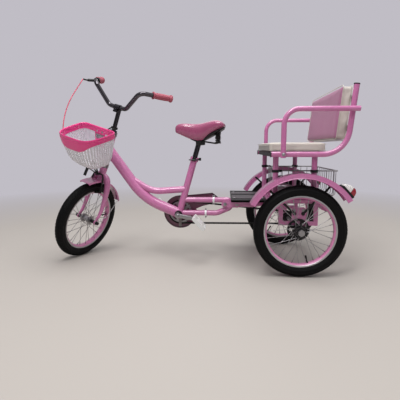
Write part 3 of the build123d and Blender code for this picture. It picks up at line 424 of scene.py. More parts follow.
def build_finishes():
    c = colours()
    chrome_shade = tint(140, 137, 142)
    steel_shade = tint(160, 158, 160)
    black_shade = tint(24, 24, 26)
    m = MATERIALS
    m["frame_paint"] = finish("frame_paint", c.frame_pink, rough=(0.22, 0.32), coat=1.0, coat_rough=0.1, uneven=(9.0, 0.035),
                              surface=(420.0, 0.05), dust=0.16, dust_shade=tint(190, 160, 172))
    # painted shade: the chain guard's frame paint, darkened to the shade it sits in behind the frame
    m["guard_painted_shade"] = finish("guard_painted_shade", c.guard_pink_painted_shade, rough=(0.3, 0.42), coat=0.4, uneven=(12.0, 0.07),
                              surface=(420.0, 0.05), dust=0.12,
                              zones=((beyond("Y", -0.0535), tint(48, 22, 40), 0.0, 0.4),))
    m["collar_paint"] = finish("collar_paint", c.frame_pink, rough=(0.26, 0.36), coat=0.6, uneven=(9.0, 0.035),
                               surface=(420.0, 0.05),
                               zones=((beyond("X", 0.4660, -1.0), black_shade, 0.6, 0.35),
                                      (beyond("Y", 0.0185), black_shade, 0.6, 0.35),
                                      (beyond("Y", -0.0125, -1.0), steel_shade, 1.0, 0.3)))
    # painted reflection: this chrome's colour is darkened to stand for the dark surroundings it mirrors
    m["post_and_stem_chrome_painted_dark_reflection"] = finish("post_and_stem_chrome_painted_dark_reflection", tint(66, 64, 68), rough=(0.12, 0.2), metal=1.0, uneven=(24.0, 0.08),
                              surface=(700.0, 0.02), rubbed=0.1)
    # painted reflection: the handlebar's chrome colour is darkened to stand for the dark surroundings it mirrors
    m["bar_chrome_painted_dark_reflection"] = finish("bar_chrome_painted_dark_reflection", tint(88, 85, 89), rough=(0.06, 0.12), metal=1.0, uneven=(24.0, 0.08),
                             surface=(700.0, 0.02), rubbed=0.1)
    m["front_fender"] = finish(
        "front_fender", c.frame_pink, rough=(0.22, 0.32), coat=1.0, coat_rough=0.1, uneven=(9.0, 0.035),
        surface=(420.0, 0.05), zones=((inside_rim(FRONT_HUB, 0.2095), tint(176, 172, 174), 0.9, 0.3),))
    m["tyre_rubber"] = finish("tyre_rubber", tint(10, 10, 11), rough=(0.45, 0.65), uneven=(40.0, 0.22), gloss=0.14,
                              surface=(1500.0, 0.35), dust=0.05, dust_shade=tint(70, 68, 66))
    for name, (hub, _) in WHEELS.items():
        m["wheel_" + name] = finish(
            "wheel_" + name, tint(212, 132, 176), rough=(0.26, 0.36), uneven=(9.0, 0.04), surface=(420.0, 0.05),
            dust=0.18, dust_shade=tint(186, 168, 174),
            zones=((brake_track(hub), tint(184, 182, 184), 0.75, 0.34),
                   (inside_rim(hub), steel_shade, 1.0, 0.3),
                   (inside_rim(hub, 0.001 if name == "front" else 0.031), black_shade, 0.3, 0.42)))
    m["chrome"] = finish("chrome", chrome_shade, rough=(0.07, 0.14), metal=1.0, uneven=(24.0, 0.06),
                         surface=(700.0, 0.02), rubbed=0.12)
    m["bright_steel"] = finish("bright_steel", steel_shade, rough=(0.26, 0.4), metal=1.0, uneven=(40.0, 0.12),
                               surface=(1400.0, 0.08), rubbed=0.2, dust=0.15)
    m["black_steel"] = finish("black_steel", tint(17, 17, 18), rough=(0.34, 0.5), uneven=(40.0, 0.2), gloss=0.4,
                              surface=(900.0, 0.1), dust=0.06, dust_shade=tint(84, 80, 78))
    m["chain_steel"] = finish("chain_steel", tint(22, 20, 21), rough=(0.4, 0.56), metal=0.3, gloss=0.35,
                              uneven=(90.0, 0.35), surface=(1800.0, 0.15), rubbed=0.2)
    m["black_plastic"] = finish("black_plastic", tint(17, 17, 18), rough=(0.4, 0.55), gloss=0.35, uneven=(60.0, 0.15),
                                surface=(2200.0, 0.22))
    m["white_plastic"] = finish("white_plastic", tint(226, 226, 224), rough=(0.34, 0.46), uneven=(30.0, 0.04),
                                surface=(1800.0, 0.12), dust=0.16)
    m["basket_white"] = finish("basket_white", c.basket_white, rough=(0.36, 0.48), uneven=(30.0, 0.05),
                               surface=(1800.0, 0.12))
    m["basket_pink"] = finish("basket_pink", c.basket_pink, rough=(0.28, 0.38), coat=0.25, uneven=(14.0, 0.05),
                              surface=(1500.0, 0.08))
    m["saddle_skin"] = finish("saddle_skin", c.saddle_pink, rough=(0.2, 0.3), coat=1.0, coat_rough=0.13,
                              uneven=(16.0, 0.08), vinyl=(760.0, 0.10, 0.08))
    m["grip_rubber"] = finish("grip_rubber", c.grip_pink, rough=(0.48, 0.62), uneven=(70.0, 0.12),
                              surface=(2000.0, 0.3))
    m["cable_cover"] = finish("cable_cover", c.cable_pink, rough=(0.34, 0.45), uneven=(70.0, 0.08),
                              surface=(2500.0, 0.12))
    m["back_pink"] = finish("back_pink", c.back_pink, rough=(0.42, 0.55), uneven=(7.0, 0.07),
                            vinyl=(820.0, 0.26, 0.3), sheen=0.1)
    m["cream_vinyl"] = finish("cream_vinyl", c.cream, rough=(0.4, 0.55), uneven=(10.0, 0.06),
                              vinyl=(820.0, 0.26, 0.5),
                              # painted shade: the cushion's front face, past x 0.1385, is turned a greyer cream
                              zones=((beyond("X", 0.1385), tint(168, 164, 158), 0.0, 0.55),))
    # painted shade: a greyer copy of the cream vinyl, for the backrest's downward-facing bottom band
    m["vinyl_painted_shade"] = finish("vinyl_painted_shade", tint(136, 130, 128), rough=(0.45, 0.6), uneven=(10.0, 0.06),
                             vinyl=(820.0, 0.26, 0.3))
    m["board_wood"] = finish("board_wood", c.board, rough=(0.5, 0.65), uneven=(60.0, 0.25), surface=(600.0, 0.4))
    m["footboard_plastic"] = finish("footboard_plastic", tint(21, 20, 22), rough=(0.45, 0.6),
                                    uneven=(40.0, 0.18), surface=(1200.0, 0.25), dust=0.03, gloss=0.3)
    # the ribs are grey, and their purplish tint is a painted reflection of the pink frame
    m["footboard_strip"] = finish("footboard_strip", tint(72, 64, 70), rough=(0.34, 0.48), metal=0.2,
                                  uneven=(40.0, 0.15), surface=(1200.0, 0.2), dust=0.2)
    m["clip_white"] = finish(
        "clip_white", tint(244, 243, 245), rough=(0.3, 0.4), uneven=(40.0, 0.05), surface=(1400.0, 0.08),
        zones=((beyond("X", 0.5), tint(128, 122, 122), 0.7, 0.42),))
    m["shell_cups"] = finish("shell_cups", c.frame_pink, rough=(0.26, 0.36), coat=0.5, uneven=(9.0, 0.04),
                             zones=((beyond("Y", 0.0351, 0), tint(62, 54, 60), 0.7, 0.34),))
    m["lens_red"] = finish("lens_red", c.lens_red, rough=(0.12, 0.2), coat=0.6, uneven=(60.0, 0.12),
                           surface=(500.0, 0.25))
    m["lamp_white"] = finish("lamp_white", tint(238, 236, 234), rough=(0.22, 0.32), coat=0.3,
                             uneven=(40.0, 0.03), surface=(1400.0, 0.05))


NODE_FINISH = {
    "frame_paint": ("armrests", "bench_posts", "bench_sides", "coupling", "down_tube", "fork", "head_tube",
                    "rear_fenders", "rear_frame", "rear_loop", "seat_tube", "top_tube"),
    "guard_painted_shade": ("chain_guard",),
    "front_fender": ("front_fender",),
    "tyre_rubber": ("front_tyre", "tyre_left", "tyre_right"),
    "wheel_left": ("wheel_left",),
    "wheel_right": ("wheel_right",),
    "wheel_front": ("front_wheel",),
    "chrome": ("headset",),
    "bar_chrome_painted_dark_reflection": ("handlebar",),
    "post_and_stem_chrome_painted_dark_reflection": ("seat_post", "stem"),
    "collar_paint": ("seat_clamp",),
    "bright_steel": ("cargo_basket", "crankset", "rear_axle"),
    "black_steel": ("basket_bracket", "bench_crossbars", "brake_caliper", "cargo_clamps", "fender_stays",
                    "front_axle", "hub_disc", "saddle_frame", "sprocket"),
    "chain_steel": ("chain",),
    "black_plastic": ("brake_lever", "end_caps"),
    "white_plastic": ("pedal_left", "pedal_right"),
    "basket_white": ("basket",),
    "basket_pink": ("basket_rim",),
    "saddle_skin": ("saddle",),
    "grip_rubber": ("grips",),
    "cable_cover": ("brake_cable",),
    "back_pink": ("backrest",),
    "cream_vinyl": ("bench_cushion",),
    "board_wood": ("bench_board",),
    "footboard_plastic": ("footboard",),
    "clip_white": ("guard_mounts",),
    "shell_cups": ("bottom_bracket",),
    "lens_red": ("tail_lamps",),
}


# Making pieces


def piece(name, bm, body, slot, *materials, soft_angle=40.0, merge=0.0, recalc=True):
    """Turns a bmesh in place into a piece that rides a body. The slot argument is not used."""
    if merge:
        bmesh.ops.remove_doubles(bm, verts=bm.verts, dist=merge)
    if recalc:
        bmesh.ops.recalc_face_normals(bm, faces=bm.faces)
    limit = math.radians(soft_angle)
    for face in bm.faces:
        face.smooth = True
    for edge in bm.edges:
        edge.smooth = len(edge.link_faces) == 2 and edge.calc_face_angle(0.0) < limit
    mesh = bpy.data.meshes.new(name)
    bm.to_mesh(mesh)
    bm.free()
    for material in materials:
        mesh.materials.append(MATERIALS[material])
    obj = bpy.data.objects.new(name, mesh)
    bpy.context.scene.collection.objects.link(obj)
    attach(obj, body)
    return obj


def axes_to(way, at=(0.0, 0.0, 0.0)):
    """A matrix that turns Z to a direction and puts the origin at a point."""
    turn = Vector(way).to_track_quat("Z", "Y").to_matrix().to_4x4()
    return Matrix.Translation(at) @ turn


def add_rod(bm, start, end, r, segments=16, caps=True, r_end=None, bevel=0.0):
    """A round bar between two points."""
    start, end = Vector(start), Vector(end)
    made = bmesh.ops.create_cone(bm, cap_ends=caps, segments=segments, radius1=r,
                                 radius2=r if r_end is None else r_end, depth=(end - start).length,
                                 matrix=axes_to(end - start, (start + end) / 2))
    if bevel:
        rims = [e for e in edges_of(made["verts"]) if e.is_manifold and e.calc_face_angle(0) > 1.0]
        bmesh.ops.bevel(bm, geom=rims, offset=bevel, offset_type="OFFSET", segments=2, profile=0.5,
                        affect="EDGES", material=-1)
    return made["verts"]


def edges_of(verts):
    return list({e for v in verts for e in v.link_edges})


def add_box(bm, place, size_xyz, bevel=0.0008):
    """A bevelled block about a matrix's origin."""
    made = bmesh.ops.create_cube(bm, size=1.0, matrix=place @ Matrix.Diagonal((*size_xyz, 1.0)))
    if bevel:
        bmesh.ops.bevel(bm, geom=edges_of(made["verts"]), offset=bevel, offset_type="OFFSET", segments=2,
                        profile=0.5, affect="EDGES", material=-1)


def add_bolt(bm, at, way, r=0.005, head=0.0032, washer=True, dome=False):
    """A hexagon bolt head on its washer, standing on a surface and facing along way."""
    at, way = Vector(at), Vector(way).normalized()
    base = at
    if washer:
        add_rod(bm, base - way * 0.0006, base + way * 0.001, r * 1.45, 20, bevel=0.0003)
        base = base + way * 0.001
    if dome:
        made = bmesh.ops.create_uvsphere(bm, u_segments=16, v_segments=8, radius=r * 1.1,
                                         matrix=axes_to(way, base) @ Matrix.Diagonal((1, 1, 0.62, 1)))
        return made
    top = base + way * head
    add_rod(bm, base, top, r * 1.12, 6, bevel=0.0004)
    return None


def add_tube(bm, points, r, segments=10, closed=False):
    """A round tube along a list of points, mitred at each one."""
    points = [Vector(p) for p in points]
    count = len(points)
    rings = []
    up = None
    for i, point in enumerate(points):
        before = points[i - 1] if i or closed else None
        after = points[(i + 1) % count] if i < count - 1 or closed else None
        way = ((point - before).normalized() if before is not None else Vector()) + (
            (after - point).normalized() if after is not None else Vector())
        way.normalize()
        if up is None:
            up = Vector((0, 0, 1)) if abs(way.z) < 0.9 else Vector((1, 0, 0))
        side = way.cross(up).normalized()
        up = side.cross(way).normalized()
        turn = Matrix((side, up, way)).transposed().to_4x4()
        made = bmesh.ops.create_circle(bm, segments=segments, radius=r, cap_ends=False,
                                       matrix=Matrix.Translation(point) @ turn)
        rings.append(edges_of(made["verts"]))
    pairs = list(zip(rings, rings[1:]))
    if closed:
        pairs.append((rings[-1], rings[0]))
    for a, b in pairs:
        bmesh.ops.bridge_loops(bm, edges=a + b)
    if not closed:
        for ring in (rings[0], rings[-1]):
            bmesh.ops.contextual_create(bm, geom=ring)


def spin_profile(bm, points, place, steps=48, angle=2 * math.pi):
    """Spins an open line of (radius, height) points about Z and puts the result at a matrix."""
    verts = [bm.verts.new((r, 0.0, h)) for r, h in points]
    line = [bm.edges.new(pair) for pair in zip(verts, verts[1:])]
    before = set(bm.verts) - set(verts)
    bmesh.ops.spin(bm, geom=verts + line, cent=(0, 0, 0), axis=(0, 0, 1), angle=angle, steps=steps,
                   use_merge=abs(angle - 2 * math.pi) < 1e-6)
    made = [v for v in bm.verts if v not in before]
    bmesh.ops.remove_doubles(bm, verts=made, dist=1e-6)
    made = [v for v in bm.verts if v not in before]
    bmesh.ops.transform(bm, matrix=place, verts=made)


def apply_modifiers(obj):
    """Bakes an object's modifiers into its mesh."""
    graph = bpy.context.evaluated_depsgraph_get()
    mesh = bpy.data.meshes.new_from_object(obj.evaluated_get(graph))
    old = obj.data
    obj.modifiers.clear()
    obj.data = mesh
    bpy.data.meshes.remove(old)


def thicken(obj, thickness):
    """Gives a skin of faces its wall thickness, inwards."""
    wall = obj.modifiers.new("wall", "SOLIDIFY")
    wall.thickness = thickness
    wall.offset = -1.0


def use_only(obj):
    """Makes one object the active and selected one."""
    for other in bpy.context.selected_objects:
        other.select_set(False)
    obj.select_set(True)
    bpy.context.view_layer.objects.active = obj


# Camera, light and cable


class TRICYCLE_OT_camera(bpy.types.Operator):
    """Puts the camera where the photograph was taken from"""

    bl_idname = "tricycle.camera"
    bl_label = "Camera"

    def execute(self, context):
        flat = Vector((math.sin(CAMERA_YAW), -math.cos(CAMERA_YAW), 0.0))
        side = Vector((-math.cos(CAMERA_YAW), -math.sin(CAMERA_YAW), 0.0))
        up = Vector((0.0, 0.0, 1.0))
        look = flat * math.cos(CAMERA_PITCH) - up * math.sin(CAMERA_PITCH)
        top = up * math.cos(CAMERA_PITCH) + flat * math.sin(CAMERA_PITCH)
        right = side * math.cos(CAMERA_ROLL) + top * math.sin(CAMERA_ROLL)
        head = top * math.cos(CAMERA_ROLL) - side * math.sin(CAMERA_ROLL)
        data = bpy.data.cameras.new("camera")
        data.sensor_fit = "HORIZONTAL"
        data.sensor_width = 36.0
        data.lens = 36.0 * FOCAL_SHARE
        data.clip_start = 0.05
        camera = bpy.data.objects.new("camera", data)
        camera.matrix_world = (Matrix.Translation(CAMERA_AT)
                               @ Matrix((right, head, -look)).transposed().to_4x4())
        context.scene.collection.objects.link(camera)
        context.scene.camera = camera
        context.scene.view_settings.view_transform = "Standard"
        return {"FINISHED"}


# The cable's route in the fork's own axes, in metres, from the lever's barrel to the caliper
CABLE_ROUTE = (
    (0.0880, -0.2220, 0.3720), (0.1280, -0.2120, 0.3000), (0.1600, -0.1900, 0.2200), (0.1760, -0.1580, 0.1400),
    (0.1680, -0.1180, 0.0760), (0.1400, -0.0840, 0.0360), (0.0960, -0.0580, 0.0160),
)
BAR_BEND, BAR_END = Vector((0.063, 0.143, 0.431)), Vector((-0.078, 0.231, 0.4545))
LEVER_AT, LEVER_OUT, LEVER_DROP = 0.116, 0.046, 0.012


def lever_frame():
    """The lever's seat on the right half of the bar, the bar's way and the lever's outward way."""
    way = (BAR_END - BAR_BEND).normalized()
    way.y = -way.y
    seat = Vector((BAR_END.x, -BAR_END.y, BAR_END.z)) - way * LEVER_AT
    out = -Vector((-way.y, way.x, 0.0)).normalized()
    if out.x < 0:
        out = -out
    return seat, way, out


def cable_ends():
    seat, way, out = lever_frame()
    barrel = seat - way * 0.004 + out * (LEVER_OUT + 0.022) + Vector((0, 0, -LEVER_DROP - 0.002))
    return barrel + out * 0.0013, Vector((0.027, -0.036, 0.0202))


class TRICYCLE_OT_cable(bpy.types.Operator):
    """Lays the front brake cable from the lever to the caliper"""

    bl_idname = "tricycle.cable"
    bl_label = "Brake cable"

    def execute(self, context):
        first, last = cable_ends()
        points = [first, *(Vector(p) for p in CABLE_ROUTE), last]
        points = [STEER @ p for p in points]
        data = bpy.data.curves.new("front_brake_cable", "CURVE")
        data.dimensions = "3D"
        data.resolution_u = 16
        line = data.splines.new("NURBS")
        line.points.add(len(points) - 1)
        for made, point in zip(line.points, points):
            made.co = (*point, 1.0)
        line.order_u = 3
        line.use_endpoint_u = True
        d = sizes().cable_d
        data.bevel_depth = d / 2
        data.bevel_resolution = 4
        data.use_fill_caps = True
        data.materials.append(MATERIALS["cable_cover"])
        cable = bpy.data.objects.new("front_brake_cable", data)
        context.scene.collection.objects.link(cable)
        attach(cable, "steering")
        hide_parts("brake_cable")
        return {"FINISHED"}


class TRICYCLE_OT_stage(bpy.types.Operator):
    """Adds the pale floor, the soft lights and the backdrop"""

    bl_idname = "tricycle.stage"
    bl_label = "Floor and light"

    def execute(self, context):
        c = colours()
        material = bpy.data.materials.new("floor_pale")
        material.use_nodes = True
        tree = material.node_tree
        tree.nodes.clear()
        t = Tree(tree)
        out = t.add("ShaderNodeOutputMaterial")
        shader = t.add("ShaderNodeBsdfPrincipled")
        t.feed(c.floor, shader.inputs["Base Color"])
        shader.inputs["Roughness"].default_value = 0.55
        shader.inputs["Specular IOR Level"].default_value = 0.25
        away = t.add("ShaderNodeEmission")
        t.feed(c.backdrop, away.inputs["Color"])
        away.inputs["Strength"].default_value = 1.0
        place = t.place()
        length = t.add("ShaderNodeVectorMath", operation="LENGTH")
        t.join(place, length.inputs[0])
        fade = t.ramp(length.outputs["Value"], 1.6, 3.6)
        both = t.add("ShaderNodeMixShader")
        t.join(fade, both.inputs[0])
        t.join(shader.outputs[0], both.inputs[1])
        t.join(away.outputs[0], both.inputs[2])
        t.join(both.outputs[0], out.inputs[0])
        bm = bmesh.new()
        bmesh.ops.create_circle(bm, cap_ends=True, segments=96, radius=9.0)
        mesh = bpy.data.meshes.new("floor")
        bm.to_mesh(mesh)
        bm.free()
        mesh.materials.append(material)
        floor = bpy.data.objects.new("floor", mesh)
        context.scene.collection.objects.link(floor)
        floor.location = (0.4, 0.0, 0.0)

        world = bpy.data.worlds.new("studio")
        world.use_nodes = True
        context.scene.world = world
        world.node_tree.nodes.clear()
        t = Tree(world.node_tree)
        out = t.add("ShaderNodeOutputWorld")
        light = t.add("ShaderNodeBackground")
        # bright overhead, dim at the horizon and below
        height = t.ramp(t.parts(t.add("ShaderNodeTexCoord").outputs["Generated"])["Z"], -0.15, 0.95)
        t.join(t.mix(height, (0.09, 0.088, 0.092), (1.0, 0.98, 1.02)), light.inputs["Color"])
        light.inputs["Strength"].default_value = 0.72
        seen = t.add("ShaderNodeBackground")
        t.feed(c.backdrop, seen.inputs["Color"])
        seen.inputs["Strength"].default_value = 1.0
        rays = t.add("ShaderNodeLightPath")
        shown = t.math("MAXIMUM", rays.outputs["Is Camera Ray"], rays.outputs["Is Transmission Ray"])
        both = t.add("ShaderNodeMixShader")
        t.join(shown, both.inputs[0])
        t.join(light.outputs[0], both.inputs[1])
        t.join(seen.outputs[0], both.inputs[2])
        t.join(both.outputs[0], out.inputs[0])
        for name, at, power, wide in (("key", (1.2, 2.1, 3.1), 34.0, 0.9), ("fill", (-2.2, 1.6, 2.4), 8.0, 2.4),
                                      ("back", (0.2, -2.6, 2.6), 12.0, 2.6), ("top", (0.3, 0.5, 3.3), 62.0, 1.8)):
            data = bpy.data.lights.new(name, "AREA")
            data.shape = "SQUARE"
            data.size = wide
            data.energy = power
            lamp = bpy.data.objects.new(name, data)
            lamp.location = at
            aim = Vector((0.4, 0.0, 0.4)) - Vector(at)
            lamp.rotation_euler = aim.to_track_quat("-Z", "Y").to_euler()
            context.scene.collection.objects.link(lamp)
        return {"FINISHED"}


class TRICYCLE_OT_finishes(bpy.types.Operator):
    """Gives every solid its finish"""

    bl_idname = "tricycle.finishes"
    bl_label = "Paint, metal and plastic"

    def execute(self, context):
        build_groups()
        build_finishes()
        for material, names in NODE_FINISH.items():
            for name in names:
                data = NODES[name].data
                data.materials.clear()
                data.materials.append(MATERIALS[material])
        return {"FINISHED"}


# Tyres and wheels


def tyre_profile():
    """Half a tyre's section from its crown: (angle from the crown in degrees, depth below the full round,
    whether the stretch up to the next point is cut into tread blocks)."""
    deep = sizes().tread_depth
    return ((0, 0.0002, False), (5, 0.0002, False), (6.5, deep, False), (8, deep, True), (21, deep, False),
            (24, deep, True), (37, deep, False), (40, deep, True), (53, deep, False), (57, deep, False),
            (60, 0.0008, False), (70, 0.0008, False), (72, 0.0002, False), (75, 0.0002, False),
            (77, 0.0009, False), (96, 0.0009, False), (99, 0.0002, False), (103, 0.0002, False),
            (106, 0.0008, False), (117.9, 0.0004, False))


def build_tyre(name, node):
    hub, body = WHEELS[name]
    section, ring = 0.026, WHEEL_R - 0.026
    half = tyre_profile()
    bm = bmesh.new()
    line = []
    for sign in (-1, 1):
        rows = half[::-1] if sign < 0 else half[1:]
        for angle, depth, _ in rows:
            a = math.radians(angle)
            r = section - depth
            line.append((ring + r * math.cos(a), sign * r * math.sin(a)))
    line = [(0.1549, -0.0138), *line, (0.1549, 0.0138)]
    verts = [bm.verts.new((r, y, 0.0)) for r, y in line]
    loop = [bm.edges.new(pair) for pair in zip(verts, verts[1:] + verts[:1])]
    cells = sizes().tread_blocks
    cell = 2 * math.pi / cells
    made = bmesh.ops.spin(bm, geom=verts + loop, axis=(0, 1, 0), cent=(0, 0, 0), angle=cell * 0.7, steps=1)
    block_faces = [f for f in bm.faces]
    bmesh.ops.spin(bm, geom=made["geom_last"], axis=(0, 1, 0), cent=(0, 0, 0), angle=cell * 0.3, steps=1)
    deep = sizes().tread_depth
    raised = []
    blocks = [(low, high) for (low, _, cut), (high, _, _) in zip(half, half[1:]) if cut]
    for face in block_faces:
        middle = face.calc_center_median()
        out = math.hypot(middle.x, middle.z) - ring
        angle = math.degrees(math.atan2(abs(middle.y), out))
        if any(low < angle < high for low, high in blocks):
            raised.append(face)
    tops = bmesh.ops.extrude_discrete_faces(bm, faces=raised)["faces"]
    for face in tops:
        middle = face.calc_center_median()
        spoke = Vector((middle.x, 0.0, middle.z)).normalized() * ring
        way = (middle - spoke).normalized()
        for vert in face.verts:
            vert.co += way * (deep - 0.0001)
            vert.co += (middle + way * deep - vert.co) * 0.09
    bmesh.ops.spin(bm, geom=bm.verts[:] + bm.edges[:] + bm.faces[:], axis=(0, 1, 0), cent=(0, 0, 0),
                   angle=2 * math.pi - cell, steps=cells - 1, use_duplicate=True)
    bmesh.ops.remove_doubles(bm, verts=bm.verts, dist=0.00002)
    for vert in bm.verts:
        out = math.hypot(vert.co.x, vert.co.z) - ring
        lean = min(math.degrees(math.atan2(abs(vert.co.y), out)), 57.0) / 57.0
        vert.co.rotate(Euler((0.0, cell * 0.9 * lean, 0.0)))
    bmesh.ops.transform(bm, matrix=hub, verts=bm.verts)
    obj = piece("tyre_tread_" + name, bm, body, "tyre_rubber", "tyre_rubber", soft_angle=34.0)
    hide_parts(node)


class TRICYCLE_OT_tyres(bpy.types.Operator):
    """Makes the three tyres with their tread and side ribs"""

    bl_idname = "tricycle.tyres"
    bl_label = "Tyres"

    def execute(self, context):
        for name, node in (("left", "tyre_left"), ("right", "tyre_right"), ("front", "front_tyre")):
            build_tyre(name, node)
        return {"FINISHED"}


VALVE_ANGLE = {"left": -104.6, "right": -60.0, "front": 172.0}


class TRICYCLE_OT_wheel_parts(bpy.types.Operator):
    """Adds spoke nipples, the spokes' ends at the hubs and tyre valves to the wheels"""

    bl_idname = "tricycle.wheel_parts"
    bl_label = "Nipples, valves and nuts"

    def execute(self, context):
        for name, (hub, body) in WHEELS.items():
            bm = bmesh.new()
            for i in range(28):
                side = 1 if i % 2 == 0 else -1
                lead = 62.0 if i % 4 < 2 else -62.0
                rim, foot = math.radians(360.0 * i / 28), math.radians(360.0 * i / 28 + lead)
                low = Vector((0.020 * math.cos(foot), side * 0.022, 0.020 * math.sin(foot)))
                high = Vector((0.1485 * math.cos(rim), side * 0.004, 0.1485 * math.sin(rim)))
                way = (high - low).normalized()
                add_rod(bm, high - way * 0.016, high, 0.0019, 8, r_end=0.0024)
                add_rod(bm, low - way * 0.001, low + way * 0.003, 0.0022, 8)
            bmesh.ops.transform(bm, matrix=hub, verts=bm.verts)
            piece("spoke_nipples_" + name, bm, body, "wheel_steel", "bright_steel")
            bm = bmesh.new()
            a = math.radians(VALVE_ANGLE[name])
            out = Vector((math.cos(a), 0.0, math.sin(a)))
            add_rod(bm, out * 0.118, out * 0.1465, 0.0030, 12)
            add_rod(bm, out * 0.112, out * 0.126, 0.0043, 12, bevel=0.001)
            add_rod(bm, out * 0.143, out * 0.1475, 0.0050, 12, bevel=0.0006)
            bmesh.ops.transform(bm, matrix=hub, verts=bm.verts)
            piece("tyre_valve_" + name, bm, body, "black_plastic", "black_plastic")
        return {"FINISHED"}


# Chain


def chain_track():
    """The chain's two straight runs and two arcs, as a function from arc length to place and way."""
    pitch = 0.0127
    big, small = pitch / (2 * math.sin(math.pi / 30)), pitch / (2 * math.sin(math.pi / 16))
    dx, dz = BB.x, BB.z - WHEEL_R
    span, slope = math.hypot(dx, dz), math.atan2(dz, dx)
    lean = math.atan2(big - small, math.sqrt(span ** 2 - (big - small) ** 2))
    up, low = slope + math.pi / 2 + lean, slope - math.pi / 2 - lean
    run = math.sqrt(span ** 2 - (big - small) ** 2)
    front_arc, back_arc = big * (up - low), small * (2 * math.pi - (up - low))
    total = 2 * run + front_arc + back_arc

    def at(s):
        s %= total
        if s < run:
            a = Vector((small * math.cos(up), 0, WHEEL_R + small * math.sin(up)))
            b = Vector((BB.x + big * math.cos(up), 0, BB.z + big * math.sin(up)))
            return a.lerp(b, s / run), (b - a).normalized()
        s -= run
        if s < front_arc:
            angle = up - s / big
            return (Vector((BB.x + big * math.cos(angle), 0, BB.z + big * math.sin(angle))),
                    Vector((math.sin(angle), 0, -math.cos(angle))))
        s -= front_arc
        if s < run:
            a = Vector((BB.x + big * math.cos(low), 0, BB.z + big * math.sin(low)))
            b = Vector((small * math.cos(low), 0, WHEEL_R + small * math.sin(low)))
            return a.lerp(b, s / run), (b - a).normalized()
        s -= run
        angle = low - s / small
        return (Vector((small * math.cos(angle), 0, WHEEL_R + small * math.sin(angle))),
                Vector((math.sin(angle), 0, -math.cos(angle))))

    return at, total


def link_plate(bm, place, length, height, thick):
    """A figure-of-eight side plate: a bar with round ends and a waist."""
    made = bmesh.ops.create_circle(bm, cap_ends=True, segments=12, radius=height / 2)
    for vert in made["verts"]:
        vert.co.x += length / 2 * (1 if vert.co.x > 1e-6 else -1 if vert.co.x < -1e-6 else 0)
        if abs(vert.co.x) < 1e-6:
            vert.co.y *= 0.78
    face = made["verts"][0].link_faces[0]
    grown = bmesh.ops.extrude_face_region(bm, geom=[face])["geom"]
    top = [v for v in grown if isinstance(v, bmesh.types.BMVert)]
    bmesh.ops.translate(bm, vec=(0, 0, thick), verts=top)
    bmesh.ops.transform(bm, matrix=place, verts=made["verts"] + top)


class TRICYCLE_OT_chain(bpy.types.Operator):
    """Makes the chain link by link"""

    bl_idname = "tricycle.chain"
    bl_label = "Chain"

    def execute(self, context):
        at, total = chain_track()
        count = 2 * round(total / 0.0127 / 2)
        step = total / count
        bm = bmesh.new()
        thick = sizes().plate_t
        for i in range(count):
            a, _ = at(i * step)
            b, _ = at((i + 1) * step)
            way = (b - a).normalized()
            mid = (a + b) / 2
            turn = Matrix((way, Vector((0, 1, 0)).cross(way) * -1, Vector((0, 1, 0)))).transposed()
            if turn.determinant() < 0:
                turn = Matrix((way, Vector((0, 1, 0)).cross(way), Vector((0, 1, 0)))).transposed()
            gap = 0.0023 if i % 2 else 0.0034
            for y in (gap, -gap - thick):
                place = Matrix.Translation((mid.x, CHAIN_Y + y, mid.z)) @ turn.to_4x4()
                link_plate(bm, place, (b - a).length, 0.0100 if i % 2 else 0.0094, thick)
            add_rod(bm, (a.x, CHAIN_Y - 0.0048, a.z), (a.x, CHAIN_Y + 0.0048, a.z), 0.0019, 8)
            add_rod(bm, (a.x, CHAIN_Y - 0.0022, a.z), (a.x, CHAIN_Y + 0.0022, a.z), 0.0038, 10, caps=False)
        obj = piece("chain_links", bm, "frame", "black_steel", "chain_steel")
        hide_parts("chain")
        return {"FINISHED"}


# Front basket


BASKET_BACK, BASKET_HALF, BASKET_DEPTH = 0.008, 0.1085, 0.1925
BASKET_RIM, BASKET_FLOOR, BAND_H = 0.246, 0.0635, 0.012
BASKET_SQUARE = 0.46
CORNER_REACH = 0.034
# height share, share of the rim's half width, share of its depth
BASKET_SECTIONS = ((0.0, 0.52, 0.54), (0.22, 0.74, 0.77), (0.60, 0.90, 0.92), (1.0, 1.0, 1.0))
# angle from the basket's front in degrees, how far the pink band hangs below the rim
BAND_DROP = ((0, 0.0535), (8, 0.052), (15, 0.047), (25, 0.040), (35, 0.031), (45, 0.0235), (55, 0.020),
             (65, 0.018), (75, 0.017), (90, 0.018))


def steps_between(table, x):
    """Reads a table of rising x and y with straight lines between its rows."""
    for (x0, y0), (x1, y1) in zip(table, table[1:]):
        if x <= x1:
            return y0 + (y1 - y0) * max(0.0, (x - x0) / (x1 - x0))
    return table[-1][1]


def basket_share(share):
    """The wall's width and depth shares at a height share, along a smooth curve through its sections."""
    heights = [row[0] for row in BASKET_SECTIONS]
    made = []
    for column in (1, 2):
        values = [row[column] for row in BASKET_SECTIONS]
        slopes = [(b - a) / (hb - ha) for a, b, ha, hb in zip(values, values[1:], heights, heights[1:])]
        ends = [slopes[0] * 1.25] + [(a + b) / 2 for a, b in zip(slopes, slopes[1:])] + [slopes[-1] * 0.9]
        for i in range(len(slopes)):
            if share <= heights[i + 1] or i == len(slopes) - 1:
                h = heights[i + 1] - heights[i]
                u = min(max((share - heights[i]) / h, 0.0), 1.0)
                made.append((2 * u ** 3 - 3 * u ** 2 + 1) * values[i] + (u ** 3 - 2 * u ** 2 + u) * h * ends[i]
                            + (3 * u ** 2 - 2 * u ** 3) * values[i + 1] + (u ** 3 - u ** 2) * h * ends[i + 1])
                break
    return made


